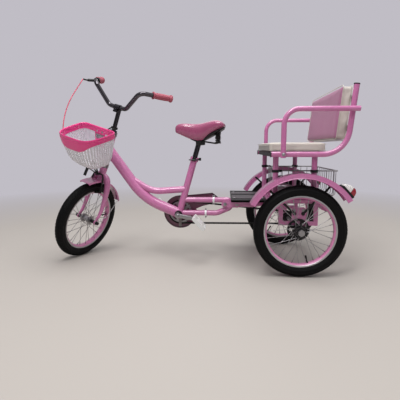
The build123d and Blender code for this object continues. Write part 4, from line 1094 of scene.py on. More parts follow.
def basket_ring(count, half, depth, back=BASKET_BACK):
    """Points round the basket's D outline, evenly spaced along it, from the middle of its front, with its
    two back corners rounded."""
    fine = []
    for i in range(-180, 181):
        t = math.radians(i / 2)
        fine.append(Vector((back + depth * abs(math.cos(t)) ** BASKET_SQUARE,
                            half * abs(math.sin(t)) ** BASKET_SQUARE * (1 if t >= 0 else -1), 0.0)))
    fine.append(Vector((back, 0.0, 0.0)))
    fine = fine[180:] + fine[:180]
    fine.append(fine[0].copy())
    lengths = [0.0]
    for a, b in zip(fine, fine[1:]):
        lengths.append(lengths[-1] + (b - a).length)

    def along(s):
        s %= lengths[-1]
        j = next(i for i in range(len(lengths) - 1) if lengths[i + 1] >= s)
        return fine[j].lerp(fine[j + 1], (s - lengths[j]) / max(lengths[j + 1] - lengths[j], 1e-9))

    reach = CORNER_REACH * half / BASKET_HALF
    corners = [lengths[-1] / 2 - half, lengths[-1] / 2 + half]
    ring = []
    for k in range(count):
        s = lengths[-1] * k / count
        point = along(s)
        for corner in corners:
            if abs(s - corner) < reach:
                u = (s - corner + reach) / (2 * reach)
                a, b, c = along(corner - reach), along(corner), along(corner + reach)
                point = a * (1 - u) ** 2 + b * 2 * u * (1 - u) + c * u ** 2
        ring.append(point)
    return ring


def outline_angle(point, half, depth):
    """The angle parameter of a point on the D outline, 90 on its flat back."""
    across = min(abs(point.y) / half, 1.0) ** (1 / BASKET_SQUARE)
    ahead = min(max(point.x - BASKET_BACK, 0.0) / depth, 1.0) ** (1 / BASKET_SQUARE)
    return math.degrees(math.atan2(across, ahead))


class TRICYCLE_OT_basket(bpy.types.Operator):
    """Makes the front basket's open woven wall and floor"""

    bl_idname = "tricycle.basket"
    bl_label = "Front basket"

    def execute(self, context):
        around, rows = 96, 15
        height = BASKET_RIM - BAND_H - BASKET_FLOOR
        bm = bmesh.new()
        ring = bmesh.ops.create_circle(bm, segments=around, radius=0.1)["verts"]
        ring.sort(key=lambda v: math.atan2(v.co.y, v.co.x))
        place_of = {}
        loops = []
        for row in range(rows + 1):
            share = row / rows
            wide, deep = basket_share(share)
            outline = basket_ring(around, (BASKET_HALF - 0.0016) * wide, (BASKET_DEPTH - 0.0016) * deep)
            if row:
                edges = [e for e in edges_of(ring) if all(v in ring for v in e.verts)]
                grown = bmesh.ops.extrude_edge_only(bm, edges=edges)["geom"]
                ring = follow(ring, [v for v in grown if isinstance(v, bmesh.types.BMVert)])
            for k, (vert, point) in enumerate(zip(ring, outline)):
                vert.co = (point.x, point.y, BASKET_FLOOR + share * height)
                place_of[vert] = (k, row)
            loops.append(ring)
        # upright slits between the strands
        slits = []
        for face in bm.faces:
            spots = [place_of[v] for v in face.verts]
            columns = {k for k, _ in spots}
            column = max(columns) if columns == {0, around - 1} else min(columns)
            row = min(r for _, r in spots)
            middle = face.calc_center_median()
            if column % 2 == 0 and 0 < row < rows - 1 and middle.x > BASKET_BACK + 0.006:
                slits.append(face)
        bmesh.ops.inset_individual(bm, faces=slits, thickness=sizes().weave_wire / 2)
        bmesh.ops.delete(bm, geom=slits, context="FACES")
        floor_edges = [e for e in edges_of(loops[0]) if all(v in loops[0] for v in e.verts)]
        floor = bmesh.ops.contextual_create(bm, geom=floor_edges)["faces"]
        for _ in range(4):
            bmesh.ops.inset_region(bm, faces=floor, thickness=0.009)
        bmesh.ops.transform(bm, matrix=BASKET, verts=bm.verts)
        obj = piece("basket_wall", bm, "steering", "white_plastic", "basket_white", soft_angle=30.0)
        thicken(obj, 0.0022)
        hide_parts("basket")

        # The raised upright strands of the weave
        bm = bmesh.new()
        for k in range(3, around, 4):
            points = []
            for row in range(0, rows + 1):
                wide, deep = basket_share(row / rows)
                outline = basket_ring(around, (BASKET_HALF - 0.0024) * wide, (BASKET_DEPTH - 0.0024) * deep)
                points.append((outline[k].x, outline[k].y, BASKET_FLOOR + row / rows * height))
            if outline[k].x > BASKET_BACK + 0.004:
                add_tube(bm, points, 0.0024, 6)
        bmesh.ops.transform(bm, matrix=BASKET, verts=bm.verts)
        piece("basket_ribs", bm, "steering", "white_plastic", "basket_white")
        return {"FINISHED"}


def follow(old, fresh):
    """The vertices that an extrusion made, in the order of those that it started from."""
    fresh = set(fresh)
    made = []
    for vert in old:
        made.append(next(e.other_vert(vert) for e in vert.link_edges if e.other_vert(vert) in fresh))
    return made


class TRICYCLE_OT_basket_band(bpy.types.Operator):
    """Makes the basket's pink rim, its wavy band and the fixing plate inside"""

    bl_idname = "tricycle.basket_band"
    bl_label = "Basket rim and band"

    def execute(self, context):
        around, rows = 120, 8
        height = BASKET_RIM - BAND_H - BASKET_FLOOR
        bm = bmesh.new()
        ring = bmesh.ops.create_circle(bm, segments=around, radius=0.1)["verts"]
        ring.sort(key=lambda v: math.atan2(v.co.y, v.co.x))
        first = list(ring)
        flat = basket_ring(around, BASKET_HALF, BASKET_DEPTH + 0.002)
        centre = Vector((BASKET_BACK + BASKET_DEPTH / 2, 0.0, 0.0))
        outward = [Vector((point.x - centre.x, point.y, 0.0)).normalized() for point in flat]
        hangs = [steps_between(BAND_DROP, outline_angle(point, BASKET_HALF, BASKET_DEPTH + 0.002)) for point in flat]

        def lay(offset, drop, share=0.0):
            """Puts the ring on the wall's own flare, drop below the rim and a share of the band's hang lower."""
            for vert, point, out, hang in zip(ring, flat, outward, hangs):
                z = BASKET_RIM - drop - hang * share
                wide, deep = basket_share(min(max((z - BASKET_FLOOR) / height, 0.0), 1.0))
                vert.co = (BASKET_BACK + (point.x - BASKET_BACK) * deep + out.x * offset,
                           point.y * wide + out.y * offset, z)

        # (offset from the outline, depth below the rim, share of the hang): up the inside, over the lip, down
        rows_in = [(-0.0050, BAND_H, 1 - row / rows) for row in range(rows)]
        lip = [(-0.0062, 0.0100, 0.0), (-0.0058, 0.0030, 0.0), (-0.0040, 0.0005, 0.0), (-0.0012, 0.0, 0.0),
               (0.0, 0.0014, 0.0), (0.0004, 0.0050, 0.0), (0.0, 0.0112, 0.0), (-0.0012, 0.0126, 0.0)]
        rows_out = [(0.0011, BAND_H + 0.0006, row / rows) for row in range(1, rows)] + [(0.0003, BAND_H, 1.0)]
        lay(*rows_in[0])
        for spot in rows_in[1:] + lip + rows_out:
            edges = [e for e in edges_of(ring) if all(v in ring for v in e.verts)]
            grown = bmesh.ops.extrude_edge_only(bm, edges=edges)["geom"]
            ring = follow(ring, [v for v in grown if isinstance(v, bmesh.types.BMVert)])
            lay(*spot)
        ends = [[e for e in edges_of(loop) if all(v in loop for v in e.verts)] for loop in (first, ring)]
        bmesh.ops.bridge_loops(bm, edges=ends[0] + ends[1])
        bmesh.ops.transform(bm, matrix=BASKET, verts=bm.verts)
        obj = piece("basket_band", bm, "steering", "basket_pink", "basket_pink", soft_angle=50.0)
        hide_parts("basket_rim")

        bm = bmesh.new()
        add_box(bm, Matrix.Translation((BASKET_BACK + 0.0034, 0.0, 0.186)), (0.0022, 0.064, 0.090), 0.0009)
        bmesh.ops.transform(bm, matrix=BASKET, verts=bm.verts)
        piece("basket_back_plate", bm, "steering", "basket_pink", "basket_pink")
        bm = bmesh.new()
        add_box(bm, Matrix.Translation((BASKET_BACK + 0.0056, 0.0, 0.196)), (0.0024, 0.052, 0.024), 0.0008)
        for y in (-0.017, 0.017):
            add_bolt(bm, (BASKET_BACK + 0.0068, y, 0.196), (1, 0, 0), 0.0042, 0.0028)
            add_bolt(bm, (BASKET_BACK + 0.0045, y, 0.222), (1, 0, 0), 0.0036, 0.002, dome=True)
        bmesh.ops.transform(bm, matrix=BASKET, verts=bm.verts)
        piece("basket_fixings", bm, "steering", "bright_steel", "bright_steel")
        return {"FINISHED"}


# Soft goods


def swell(obj, cap, pressure=4.0, voxel=0.005, frames=20, pinned=None):
    """Puffs a pad up by cloth under pressure, moving no point further than cap."""
    use_only(obj)
    remesh = obj.modifiers.new("remesh", "REMESH")
    remesh.mode = "VOXEL"
    remesh.voxel_size = voxel
    apply_modifiers(obj)
    start = [v.co.copy() for v in obj.data.vertices]
    if pinned:
        held = obj.vertex_groups.new(name="held")
        held.add([v.index for v in obj.data.vertices if pinned(v.co)], 1.0, "REPLACE")
    cloth = obj.modifiers.new("cloth", "CLOTH")
    s = cloth.settings
    s.quality = 6
    s.mass = 0.25
    s.tension_stiffness = s.compression_stiffness = 22.0
    s.shear_stiffness = 12.0
    s.bending_stiffness = 4.0
    s.use_pressure = True
    s.uniform_pressure_force = pressure
    s.effector_weights.gravity = 0.0
    if pinned:
        s.vertex_group_mass = "held"
    cloth.collision_settings.use_collision = False
    cloth.point_cache.frame_start, cloth.point_cache.frame_end = 1, frames
    scene = bpy.context.scene
    for number in range(1, frames + 1):
        scene.frame_set(number)
    apply_modifiers(obj)
    for vert, home in zip(obj.data.vertices, start):
        move = vert.co - home
        if move.length > cap:
            vert.co = home + move * (cap / move.length)
    scene.frame_set(1)


def shade_soft(obj):
    for face in obj.data.polygons:
        face.use_smooth = True


def pad_block(name, place, half, corner, edge=0.006):
    """A closed slab with round corners in its plan, to be puffed: half sizes in its own axes, thin in Z."""
    bm = bmesh.new()
    made = bmesh.ops.create_cube(bm, size=2.0, matrix=Matrix.Diagonal((*half, 1.0)))
    upright = [e for e in edges_of(made["verts"]) if abs(e.verts[0].co.z - e.verts[1].co.z) > 1e-5]
    bmesh.ops.bevel(bm, geom=upright, offset=corner, offset_type="OFFSET", segments=6, profile=0.5,
                    affect="EDGES", material=-1)
    rims = [e for e in bm.edges if abs(e.verts[0].co.z - e.verts[1].co.z) < 1e-6 and e.calc_face_angle(0) > 1.0]
    bmesh.ops.bevel(bm, geom=rims, offset=edge, offset_type="OFFSET", segments=3, profile=0.5,
                    affect="EDGES", material=-1)
    bmesh.ops.transform(bm, matrix=place, verts=bm.verts)
    mesh = bpy.data.meshes.new(name)
    bm.to_mesh(mesh)
    bm.free()
    obj = bpy.data.objects.new(name, mesh)
    bpy.context.scene.collection.objects.link(obj)
    return obj


def smooth_mesh(obj, rounds=6, factor=0.5):
    bm = bmesh.new()
    bm.from_mesh(obj.data)
    for _ in range(rounds):
        bmesh.ops.smooth_vert(bm, verts=bm.verts, factor=factor, use_axis_x=True, use_axis_y=True, use_axis_z=True)
    bm.to_mesh(obj.data)
    bm.free()


def dress_pad(obj, body, slot, *materials):
    for material in materials:
        obj.data.materials.append(MATERIALS[material])
    shade_soft(obj)
    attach(obj, body)


class TRICYCLE_OT_bench_cushion(bpy.types.Operator):
    """Makes the padded seat of the rear bench, with its seams and piping"""

    bl_idname = "tricycle.bench_cushion"
    bl_label = "Bench cushion"

    def execute(self, context):
        low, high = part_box("bench_cushion")
        middle, half = (low + high) / 2, (high - low) / 2
        room = sizes().puff
        place = Matrix.Translation(middle)
        obj = pad_block("bench_seat_pad", place, (half.x - 0.001, half.y - 0.001, half.z - 0.001), 0.016)
        bottom = low.z + 0.004
        swell(obj, room, pressure=3.0, pinned=lambda co: co.z < bottom)
        bm = bmesh.new()
        bm.from_mesh(obj.data)
        # two sewn channels across the seat
        for vert in bm.verts:
            if vert.co.z > middle.z:
                for y in (half.y * 0.34, -half.y * 0.34):
                    near = abs(vert.co.y - y)
                    if near < 0.012:
                        vert.co.z -= 0.0032 * math.cos(near / 0.012 * math.pi / 2) ** 2
            if vert.co.z < low.z + 0.0002:
                vert.co.z = low.z + 0.0002
        bm.to_mesh(obj.data)
        bm.free()
        smooth_mesh(obj, 3)
        divide = obj.modifiers.new("subdivision", "SUBSURF")
        divide.levels = divide.render_levels = 1
        apply_modifiers(obj)
        dress_pad(obj, "frame", "cushion_skin", "cream_vinyl")
        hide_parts("bench_cushion")

        bm = bmesh.new()
        r = sizes().piping_d / 2
        for z in (high.z - 0.005, low.z + 0.004):
            add_tube(bm, rounded_outline(middle.x, middle.y, half.x + 0.0006, half.y + 0.0006, 0.016, z), r, 8,
                     closed=True)
        piece("bench_seat_piping", bm, "frame", "cushion_skin", "cream_vinyl")
        return {"FINISHED"}


def rounded_outline(cx, cy, hx, hy, r, z, steps=5):
    """Points round a rectangle with round corners, level at a height."""
    points = []
    for sx, sy, start in ((1, 1, 0), (-1, 1, 90), (-1, -1, 180), (1, -1, 270)):
        for i in range(steps + 1):
            a = math.radians(start + 90 * i / steps)
            points.append((cx + sx * (hx - r) + r * math.cos(a), cy + sy * (hy - r) + r * math.sin(a), z))
    return points


BACKREST_AT = Vector((-0.168, 0.0, 0.716))
BACKREST_LEAN = math.radians(5.6)
BACKREST_HALF = (0.022, 0.281, 0.113)


class TRICYCLE_OT_backrest(bpy.types.Operator):
    """Makes the padded backrest: a pink panel in front, with a cream band round its edge"""

    bl_idname = "tricycle.backrest"
    bl_label = "Backrest"

    def execute(self, context):
        thick, wide, tall = BACKREST_HALF
        # the pad's own axes: z out of its front, y across, x down
        place = (Matrix.Translation(BACKREST_AT) @ Matrix.Rotation(-BACKREST_LEAN, 4, "Y")
                 @ Matrix.Rotation(math.pi / 2, 4, "Y"))
        obj = pad_block("backrest_pad", place, (tall - 0.001, wide - 0.001, thick - 0.001), 0.014)
        back = place.inverted()
        swell(obj, sizes().puff, pressure=3.0, pinned=lambda co: (back @ co).z < -thick + 0.003)
        smooth_mesh(obj, 2)
        divide = obj.modifiers.new("subdivision", "SUBSURF")
        divide.levels = divide.render_levels = 1
        apply_modifiers(obj)
        dress_pad(obj, "frame", "backrest_skin", "back_pink", "cream_vinyl", "vinyl_painted_shade")
        for face in obj.data.polygons:
            at = back @ face.center
            if at.z > thick - 0.005:
                face.material_index = 0
            # the bottom band takes the vinyl darkened as painted shade
            elif at.x > tall - 0.006 and abs(at.y) < wide - 0.01:
                face.material_index = 2
            else:
                face.material_index = 1
        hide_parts("backrest")
        bm = bmesh.new()
        r = sizes().piping_d / 2
        for z in (thick - 0.0035, -thick + 0.004):
            points = [place @ Vector(p) for p in rounded_outline(0, 0, tall + 0.0004, wide + 0.0004, 0.014, z)]
            add_tube(bm, points, r, 8, closed=True)
        piece("backrest_piping", bm, "frame", "backrest_skin", "cream_vinyl")
        return {"FINISHED"}


# x, half width, top z, low z, how flat the top is
SADDLE_RINGS = (
    (0.5855, 0.0060, 0.6710, 0.6520, 0.9), (0.5830, 0.0120, 0.6800, 0.6465, 0.9),
    (0.5730, 0.0185, 0.6885, 0.6415, 0.85), (0.5560, 0.0230, 0.6940, 0.6345, 0.8),
    (0.5250, 0.0290, 0.6935, 0.6190, 0.8), (0.4880, 0.0370, 0.6910, 0.6045, 0.8),
    (0.4600, 0.0460, 0.6925, 0.6015, 0.75), (0.4400, 0.0560, 0.6965, 0.6050, 0.7),
    (0.4240, 0.0660, 0.7010, 0.6160, 0.68), (0.4050, 0.0770, 0.7055, 0.6290, 0.66),
    (0.3850, 0.0860, 0.7090, 0.6410, 0.66), (0.3600, 0.0910, 0.7070, 0.6530, 0.68),
    (0.3440, 0.0860, 0.6985, 0.6610, 0.75),
    (0.3330, 0.0660, 0.6870, 0.6690, 0.85), (0.3300, 0.0420, 0.6810, 0.6710, 0.9),
)
# x, half width, top z, low z of the black pan under the saddle's rear
PAN_RINGS = (
    (0.4460, 0.0300, 0.6220, 0.6020), (0.4340, 0.0460, 0.6280, 0.6055), (0.4200, 0.0600, 0.6380, 0.6120),
    (0.3980, 0.0740, 0.6520, 0.6240), (0.3780, 0.0810, 0.6620, 0.6350), (0.3580, 0.0840, 0.6700, 0.6470),
    (0.3430, 0.0780, 0.6750, 0.6570), (0.3340, 0.0600, 0.6770, 0.6630),
)


class TRICYCLE_OT_saddle(bpy.types.Operator):
    """Makes the sprung saddle's padded cover"""

    bl_idname = "tricycle.saddle"
    bl_label = "Saddle"

    def execute(self, context):
        bm = bmesh.new()
        sides = 24
        rings = []
        for x, half, top, low, flat in SADDLE_RINGS:
            made = bmesh.ops.create_circle(bm, segments=sides, radius=1.0)["verts"]
            made.sort(key=lambda v: math.atan2(v.co.y, v.co.x))
            middle = top - (top - low) * 0.42
            for vert in made:
                across, up = vert.co.x, vert.co.y
                across = math.copysign(abs(across) ** (0.8 if up > 0 else 0.55), across)
                if up > 0:
                    z = middle + (top - middle) * abs(up) ** flat
                    # a shallow channel down the middle of the seat
                    z -= 0.0035 * max(0.0, 1 - abs(across) / 0.35) * min(1.0, half / 0.05)
                else:
                    z = middle - (middle - low) * abs(up) ** 0.8
                vert.co = (x, half * across, z)
            rings.append(edges_of(made))
        for a, b in zip(rings, rings[1:]):
            bmesh.ops.bridge_loops(bm, edges=a + b)
        for ring in (rings[0], rings[-1]):
            bmesh.ops.contextual_create(bm, geom=ring)
        bmesh.ops.recalc_face_normals(bm, faces=bm.faces)
        mesh = bpy.data.meshes.new("saddle_cover")
        bm.to_mesh(mesh)
        bm.free()
        obj = bpy.data.objects.new("saddle_cover", mesh)
        context.scene.collection.objects.link(obj)
        divide = obj.modifiers.new("subdivision", "SUBSURF")
        divide.levels = divide.render_levels = 2
        apply_modifiers(obj)
        dress_pad(obj, "frame", "saddle_skin", "saddle_skin")
        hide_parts("saddle")
        return {"FINISHED"}


def add_coil(bm, at, r, wire, height, turns):
    """A coil spring standing up from a point."""
    made = bmesh.ops.create_circle(bm, segments=8, radius=wire, cap_ends=False,
                                   matrix=Matrix.Translation((at[0] + r, at[1], at[2])) @ Matrix.Rotation(
                                       math.pi / 2, 4, "X"))
    steps = int(turns * 14)
    bmesh.ops.spin(bm, geom=made["verts"] + edges_of(made["verts"]), axis=(0, 0, 1), cent=at,
                   angle=2 * math.pi * turns, steps=steps, dvec=(0, 0, height / steps))


class TRICYCLE_OT_saddle_frame(bpy.types.Operator):
    """Makes the saddle's rails, coil springs and clamp"""

    bl_idname = "tricycle.saddle_frame"
    bl_label = "Saddle springs and rails"

    def execute(self, context):
        bm = bmesh.new()
        x = 0.4676
        for side in (1, -1):
            points = [(x + 0.062, side * 0.014, 0.640), (x + 0.050, side * 0.0155, 0.630),
                      (x + 0.034, side * 0.018, 0.614), (x + 0.010, side * 0.019, 0.603),
                      (x - 0.034, side * 0.022, 0.6005), (x - 0.060, side * 0.030, 0.5965),
                      (x - 0.086, side * 0.041, 0.5925), (x - 0.100, side * 0.046, 0.5945)]
            add_tube(bm, points, 0.0038, 12)
            spot = (x - 0.100, side * 0.046, 0.5975)
            add_coil(bm, spot, 0.0112, 0.0026, 0.044, 5.0)
            for z0, z1 in ((0.5935, 0.5975), (0.6180, 0.6215), (0.6430, 0.6480)):
                add_rod(bm, (spot[0], spot[1], z0), (spot[0], spot[1], z1), 0.0148, 20, bevel=0.0008)
            add_rod(bm, (spot[0], spot[1], 0.5925), (spot[0], spot[1], 0.660), 0.0028, 10)
        add_tube(bm, [(x - 0.100, 0.046, 0.5945), (x - 0.110, 0.024, 0.5945), (x - 0.113, 0.0, 0.5945),
                      (x - 0.110, -0.024, 0.5945), (x - 0.100, -0.046, 0.5945)], 0.003, 10)
        clamp = Matrix.Translation((x - 0.0105, 0.0, 0.5965)) @ Matrix.Rotation(math.radians(4), 4, "Y")
        add_box(bm, clamp, (0.045, 0.050, 0.028), 0.004)
        add_rod(bm, (x - 0.0035, 0, 0.584), (x - 0.004, 0, 0.606), 0.0170, 24, bevel=0.0015)
        for side in (1, -1):
            add_bolt(bm, (x - 0.0105, side * 0.025, 0.5995), (0, side, 0), 0.0066, 0.005)
        rings = []
        for at, half, top, low in PAN_RINGS:
            made = bmesh.ops.create_circle(bm, segments=20, radius=1.0)["verts"]
            for vert in made:
                across, up = vert.co.x, vert.co.y
                across = math.copysign(abs(across) ** 0.6, across)
                vert.co = (at, half * across, (top + low) / 2 + (top - low) / 2 * up)
            rings.append(edges_of(made))
        for a, b in zip(rings, rings[1:]):
            bmesh.ops.bridge_loops(bm, edges=a + b)
        for ring in (rings[0], rings[-1]):
            bmesh.ops.contextual_create(bm, geom=ring)
        obj = piece("saddle_springs", bm, "frame", "black_steel", "black_steel")
        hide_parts("saddle_frame")
        return {"FINISHED"}


# Small parts


class TRICYCLE_OT_grips(bpy.types.Operator):
    """Makes the two ribbed hand grips"""

    bl_idname = "tricycle.grips"
    bl_label = "Grips"

    def execute(self, context):
        bm = bmesh.new()
        for side in (1, -1):
            end = Vector((BAR_END.x, side * BAR_END.y, BAR_END.z))
            bend = Vector((BAR_BEND.x, side * BAR_BEND.y, BAR_BEND.z))
            way = (end - bend).normalized()
            line = [(0.0116, 0.0), (0.0175, 0.0), (0.0185, 0.0015), (0.0185, 0.0040), (0.0172, 0.0056),
                    (0.0145, 0.0064)]
            count = 17
            for i in range(count):
                z = 0.0085 + i * 0.0048
                swelling = 0.0012 * math.sin(math.pi * i / (count - 1))
                line += [(0.0138 + swelling, z), (0.0146 + swelling, z + 0.0010), (0.0146 + swelling, z + 0.0028),
                         (0.0138 + swelling, z + 0.0038)]
            line += [(0.0140, 0.0915), (0.0165, 0.0928), (0.0182, 0.0945), (0.0185, 0.0975), (0.0183, 0.1005),
                     (0.0170, 0.1028), (0.0140, 0.1038), (0.0060, 0.1040), (0.0001, 0.1040)]
            spin_profile(bm, line, STEER @ axes_to(way, end - way * 0.100), steps=32)
        obj = piece("hand_grips", bm, "steering", "grip_rubber", "grip_rubber", soft_angle=60.0)
        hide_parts("grips")
        return {"FINISHED"}


LAMP_ANGLE, FENDER_AT, FENDER_R = 137.5, Vector((-0.002, 0.0, 0.210)), 0.250


def lamp_place(side):
    """A lamp's own axes on its fender: x back along the fender, y across, z out of it."""
    a = math.radians(LAMP_ANGLE)
    out = Vector((math.cos(a), 0.0, math.sin(a)))
    along = Vector((-math.sin(a), 0.0, math.cos(a)))
    at = FENDER_AT + out * (FENDER_R + 0.0015) + Vector((0, side * REAR_HALF_TRACK, 0))
    return Matrix.Translation(at) @ Matrix((along, Vector((0, -1, 0)), out)).transposed().to_4x4()


def lamp_body(bm, place, outline, half):
    """A block with the given side outline, from -half to half across."""
    verts = [bm.verts.new((x, -half, z)) for x, z in outline]
    face = bm.faces.new(verts)
    grown = bmesh.ops.extrude_face_region(bm, geom=[face])["geom"]
    top = [v for v in grown if isinstance(v, bmesh.types.BMVert)]
    bmesh.ops.translate(bm, vec=(0, 2 * half, 0), verts=top)
    made = verts + top
    bmesh.ops.recalc_face_normals(bm, faces=list({f for v in made for f in v.link_faces}))
    sharp = [e for e in edges_of(made) if e.calc_face_angle(0) > 0.3]
    bevelled = bmesh.ops.bevel(bm, geom=sharp, offset=0.002, offset_type="OFFSET", segments=2, profile=0.5,
                               affect="EDGES", material=-1)
    made = list({v for v in made if v.is_valid} | set(bevelled["verts"]))
    bmesh.ops.transform(bm, matrix=place, verts=made)


class TRICYCLE_OT_lamps(bpy.types.Operator):
    """Makes the two tail lamps: a black base, a white housing and a red lens"""

    bl_idname = "tricycle.lamps"
    bl_label = "Tail lamps"

    def execute(self, context):
        outlines = {
            "lamp_bases": ("black_plastic", "black_plastic", 0.0280,
                           ((0.034, 0.0005), (-0.034, 0.0005), (-0.034, 0.0105), (0.034, 0.0105))),
            "lamp_housings": ("lamp_red", "lamp_white", 0.0268,
                              ((-0.0318, 0.0104), (0.009, 0.0104), (0.002, 0.0352), (-0.014, 0.0330),
                               (-0.0300, 0.0215))),
            "lamp_lenses": ("lamp_red", "lens_red", 0.0262,
                            ((0.0091, 0.0104), (0.0320, 0.0104), (0.0320, 0.0140), (0.0250, 0.0285),
                             (0.0120, 0.0362), (0.0021, 0.0353))),
        }
        for name, (slot, material, half, outline) in outlines.items():
            bm = bmesh.new()
            for side in (1, -1):
                lamp_body(bm, lamp_place(side), outline, half)
            obj = piece(name, bm, "frame", slot, material, soft_angle=35.0)
            if name == "lamp_housings":
                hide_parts("tail_lamps")
        return {"FINISHED"}


# The two ribbed fields of the footboard, from and to across it
FOOTBOARD_PADS = ((-0.132, -0.045), (0.016, 0.122))


class TRICYCLE_OT_footboard(bpy.types.Operator):
    """Makes the ribbed footboard behind the rider"""

    bl_idname = "tricycle.footboard"
    bl_label = "Footboard"

    def execute(self, context):
        low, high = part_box("footboard")
        bm = bmesh.new()
        top = high.z - 0.0032
        base = Matrix.Translation(((low.x + high.x) / 2, 0.0, (low.z + top) / 2))
        add_box(bm, base, (high.x - low.x, high.y - low.y, top - low.z), 0.0012)
        pitch = sizes().rib_pitch
        strips = bmesh.new()
        for first, last in FOOTBOARD_PADS:
            count = int((last - first) / pitch)
            for i in range(count + 1):
                rib = Matrix.Translation(((low.x + high.x) / 2, first + i * pitch, top + 0.0012))
                add_box(strips, rib, (high.x - low.x - 0.010, pitch * 0.74, 0.0040), 0.0011)
        piece("footboard_strips", strips, "frame", "footboard_plastic", "footboard_strip")
        for y in (low.y + 0.0034, high.y - 0.0034):
            edge = Matrix.Translation(((low.x + high.x) / 2, y, (low.z + high.z) / 2))
            add_box(bm, edge, (high.x - low.x, 0.0068, high.z - low.z), 0.0009)
        obj = piece("footboard_ribs", bm, "frame", "footboard_plastic", "footboard_plastic")
        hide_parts("footboard")
        return {"FINISHED"}


# The guard's tail, in x and z, from the top of its disc round to the disc again
GUARD_TAIL = ((0.559, 0.3168), (0.480, 0.3245), (0.397, 0.3330), (0.360, 0.3045), (0.404, 0.2725), (0.446, 0.2620),
              (0.484, 0.2465))


class TRICYCLE_OT_guard(bpy.types.Operator):
    """Makes the chain guard: a disc with a tail and a turned edge"""

    bl_idname = "tricycle.guard"
    bl_label = "Chain guard"

    def execute(self, context):
        outline = [Vector((BB.x + 0.088 * math.cos(a), 0.0, BB.z + 0.088 * math.sin(a)))
                   for a in (math.radians(175 + 281 * i / 80) for i in range(81))]
        outline += [Vector((x, 0.0, z)) for x, z in GUARD_TAIL]
        ways = [(p - Vector((BB.x, 0.0, BB.z))).normalized() for p in outline]
        bm = bmesh.new()
        count = len(outline)
        loops = []
        for y in (-0.056, -0.054):
            level = Vector((0, y, 0))
            rim = [bm.verts.new(p + level) for p in outline]
            hole = [bm.verts.new(Vector((BB.x, y, BB.z)) + w * 0.024) for w in ways]
            loops.append((rim, hole))
        (rim_a, hole_a), (rim_b, hole_b) = loops
        for i in range(count):
            j = (i + 1) % count
            bm.faces.new((rim_a[i], rim_a[j], hole_a[j], hole_a[i]))
            bm.faces.new((rim_b[j], rim_b[i], hole_b[i], hole_b[j]))
            bm.faces.new((rim_a[j], rim_a[i], rim_b[i], rim_b[j]))
            bm.faces.new((hole_a[i], hole_a[j], hole_b[j], hole_b[i]))
        # the turned edge stops where the chain runs out under the tail
        kept = [p.x > 0.519 or p.z > 0.300 for p in outline]
        rings = {}
        for i in range(count):
            if kept[i]:
                inner = outline[i] - ways[i] * 0.002
                rings[i] = [bm.verts.new(Vector((q.x, y, q.z))) for q, y in (
                    (outline[i], -0.0542), (outline[i], -0.044), (inner, -0.044), (inner, -0.0542))]
        for i in rings:
            j = (i + 1) % count
            if j in rings:
                for k in range(4):
                    m = (k + 1) % 4
                    bm.faces.new((rings[i][k], rings[i][m], rings[j][m], rings[j][k]))
            else:
                bm.faces.new(rings[i])
            if (i - 1) % count not in rings:
                bm.faces.new(rings[i][::-1])
        # the guard's finish is the frame paint darkened as painted shade
        obj = piece("guard_plate", bm, "frame", "frame_paint", "guard_painted_shade", soft_angle=35.0)
        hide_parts("chain_guard")
        return {"FINISHED"}


CRANK_TURN = math.radians(192.0)


def toothed_ring(bm, y, thick, inner, root, tip, teeth):
    """A flat ring about Y with teeth round its edge."""
    outer = []
    for i in range(teeth):
        for share, r in ((-0.34, root), (-0.12, tip), (0.12, tip), (0.34, root)):
            a = 2 * math.pi * (i + share) / teeth
            outer.append((r * math.cos(a), r * math.sin(a)))
    fronts = []
    for side in (y - thick / 2, y + thick / 2):
        rim = [bm.verts.new((x, side, z)) for x, z in outer]
        bore = [bm.verts.new((x * inner / math.hypot(x, z), side, z * inner / math.hypot(x, z))) for x, z in outer]
        fronts.append((rim, bore))
    count = len(outer)
    for i in range(count):
        j = (i + 1) % count
        (rim_a, bore_a), (rim_b, bore_b) = fronts
        bm.faces.new((rim_a[i], rim_a[j], bore_a[j], bore_a[i]))
        bm.faces.new((rim_b[j], rim_b[i], bore_b[i], bore_b[j]))
        bm.faces.new((rim_a[j], rim_a[i], rim_b[i], rim_b[j]))
        bm.faces.new((bore_a[i], bore_a[j], bore_b[j], bore_b[i]))
    return [v for pair in fronts for ring in pair for v in ring]


def tapered_bar(bm, start, end, wide, wide_end, thick, thick_end):
    """A flat bar lying across Y between two points, rounded at both ends, that narrows to its end."""
    start, end = Vector(start), Vector(end)
    way = (end - start).normalized()
    side = Vector((0, 1, 0)).cross(way).normalized()
    outline = []
    for i in range(9):
        a = math.pi / 2 + math.pi * i / 8
        outline.append((start, wide / 2, a, thick))
    for i in range(9):
        a = -math.pi / 2 + math.pi * i / 8
        outline.append((end, wide_end / 2, a, thick_end))
    loops = []
    for sign in (-1, 1):
        loops.append([bm.verts.new(at + way * (r * math.cos(a)) + side * (r * math.sin(a))
                                   + Vector((0, sign * t / 2, 0))) for at, r, a, t in outline])
    bm.faces.new(loops[0])
    bm.faces.new(loops[1][::-1])
    count = len(outline)
    for i in range(count):
        j = (i + 1) % count
        bm.faces.new((loops[0][j], loops[0][i], loops[1][i], loops[1][j]))
    made = loops[0] + loops[1]
    rims = [e for e in edges_of(made) if abs(e.verts[0].co.y - e.verts[1].co.y) < thick * 0.3]
    bmesh.ops.bevel(bm, geom=rims, offset=min(thick, thick_end) * 0.22, offset_type="OFFSET", segments=2,
                    profile=0.5, affect="EDGES", material=-1)


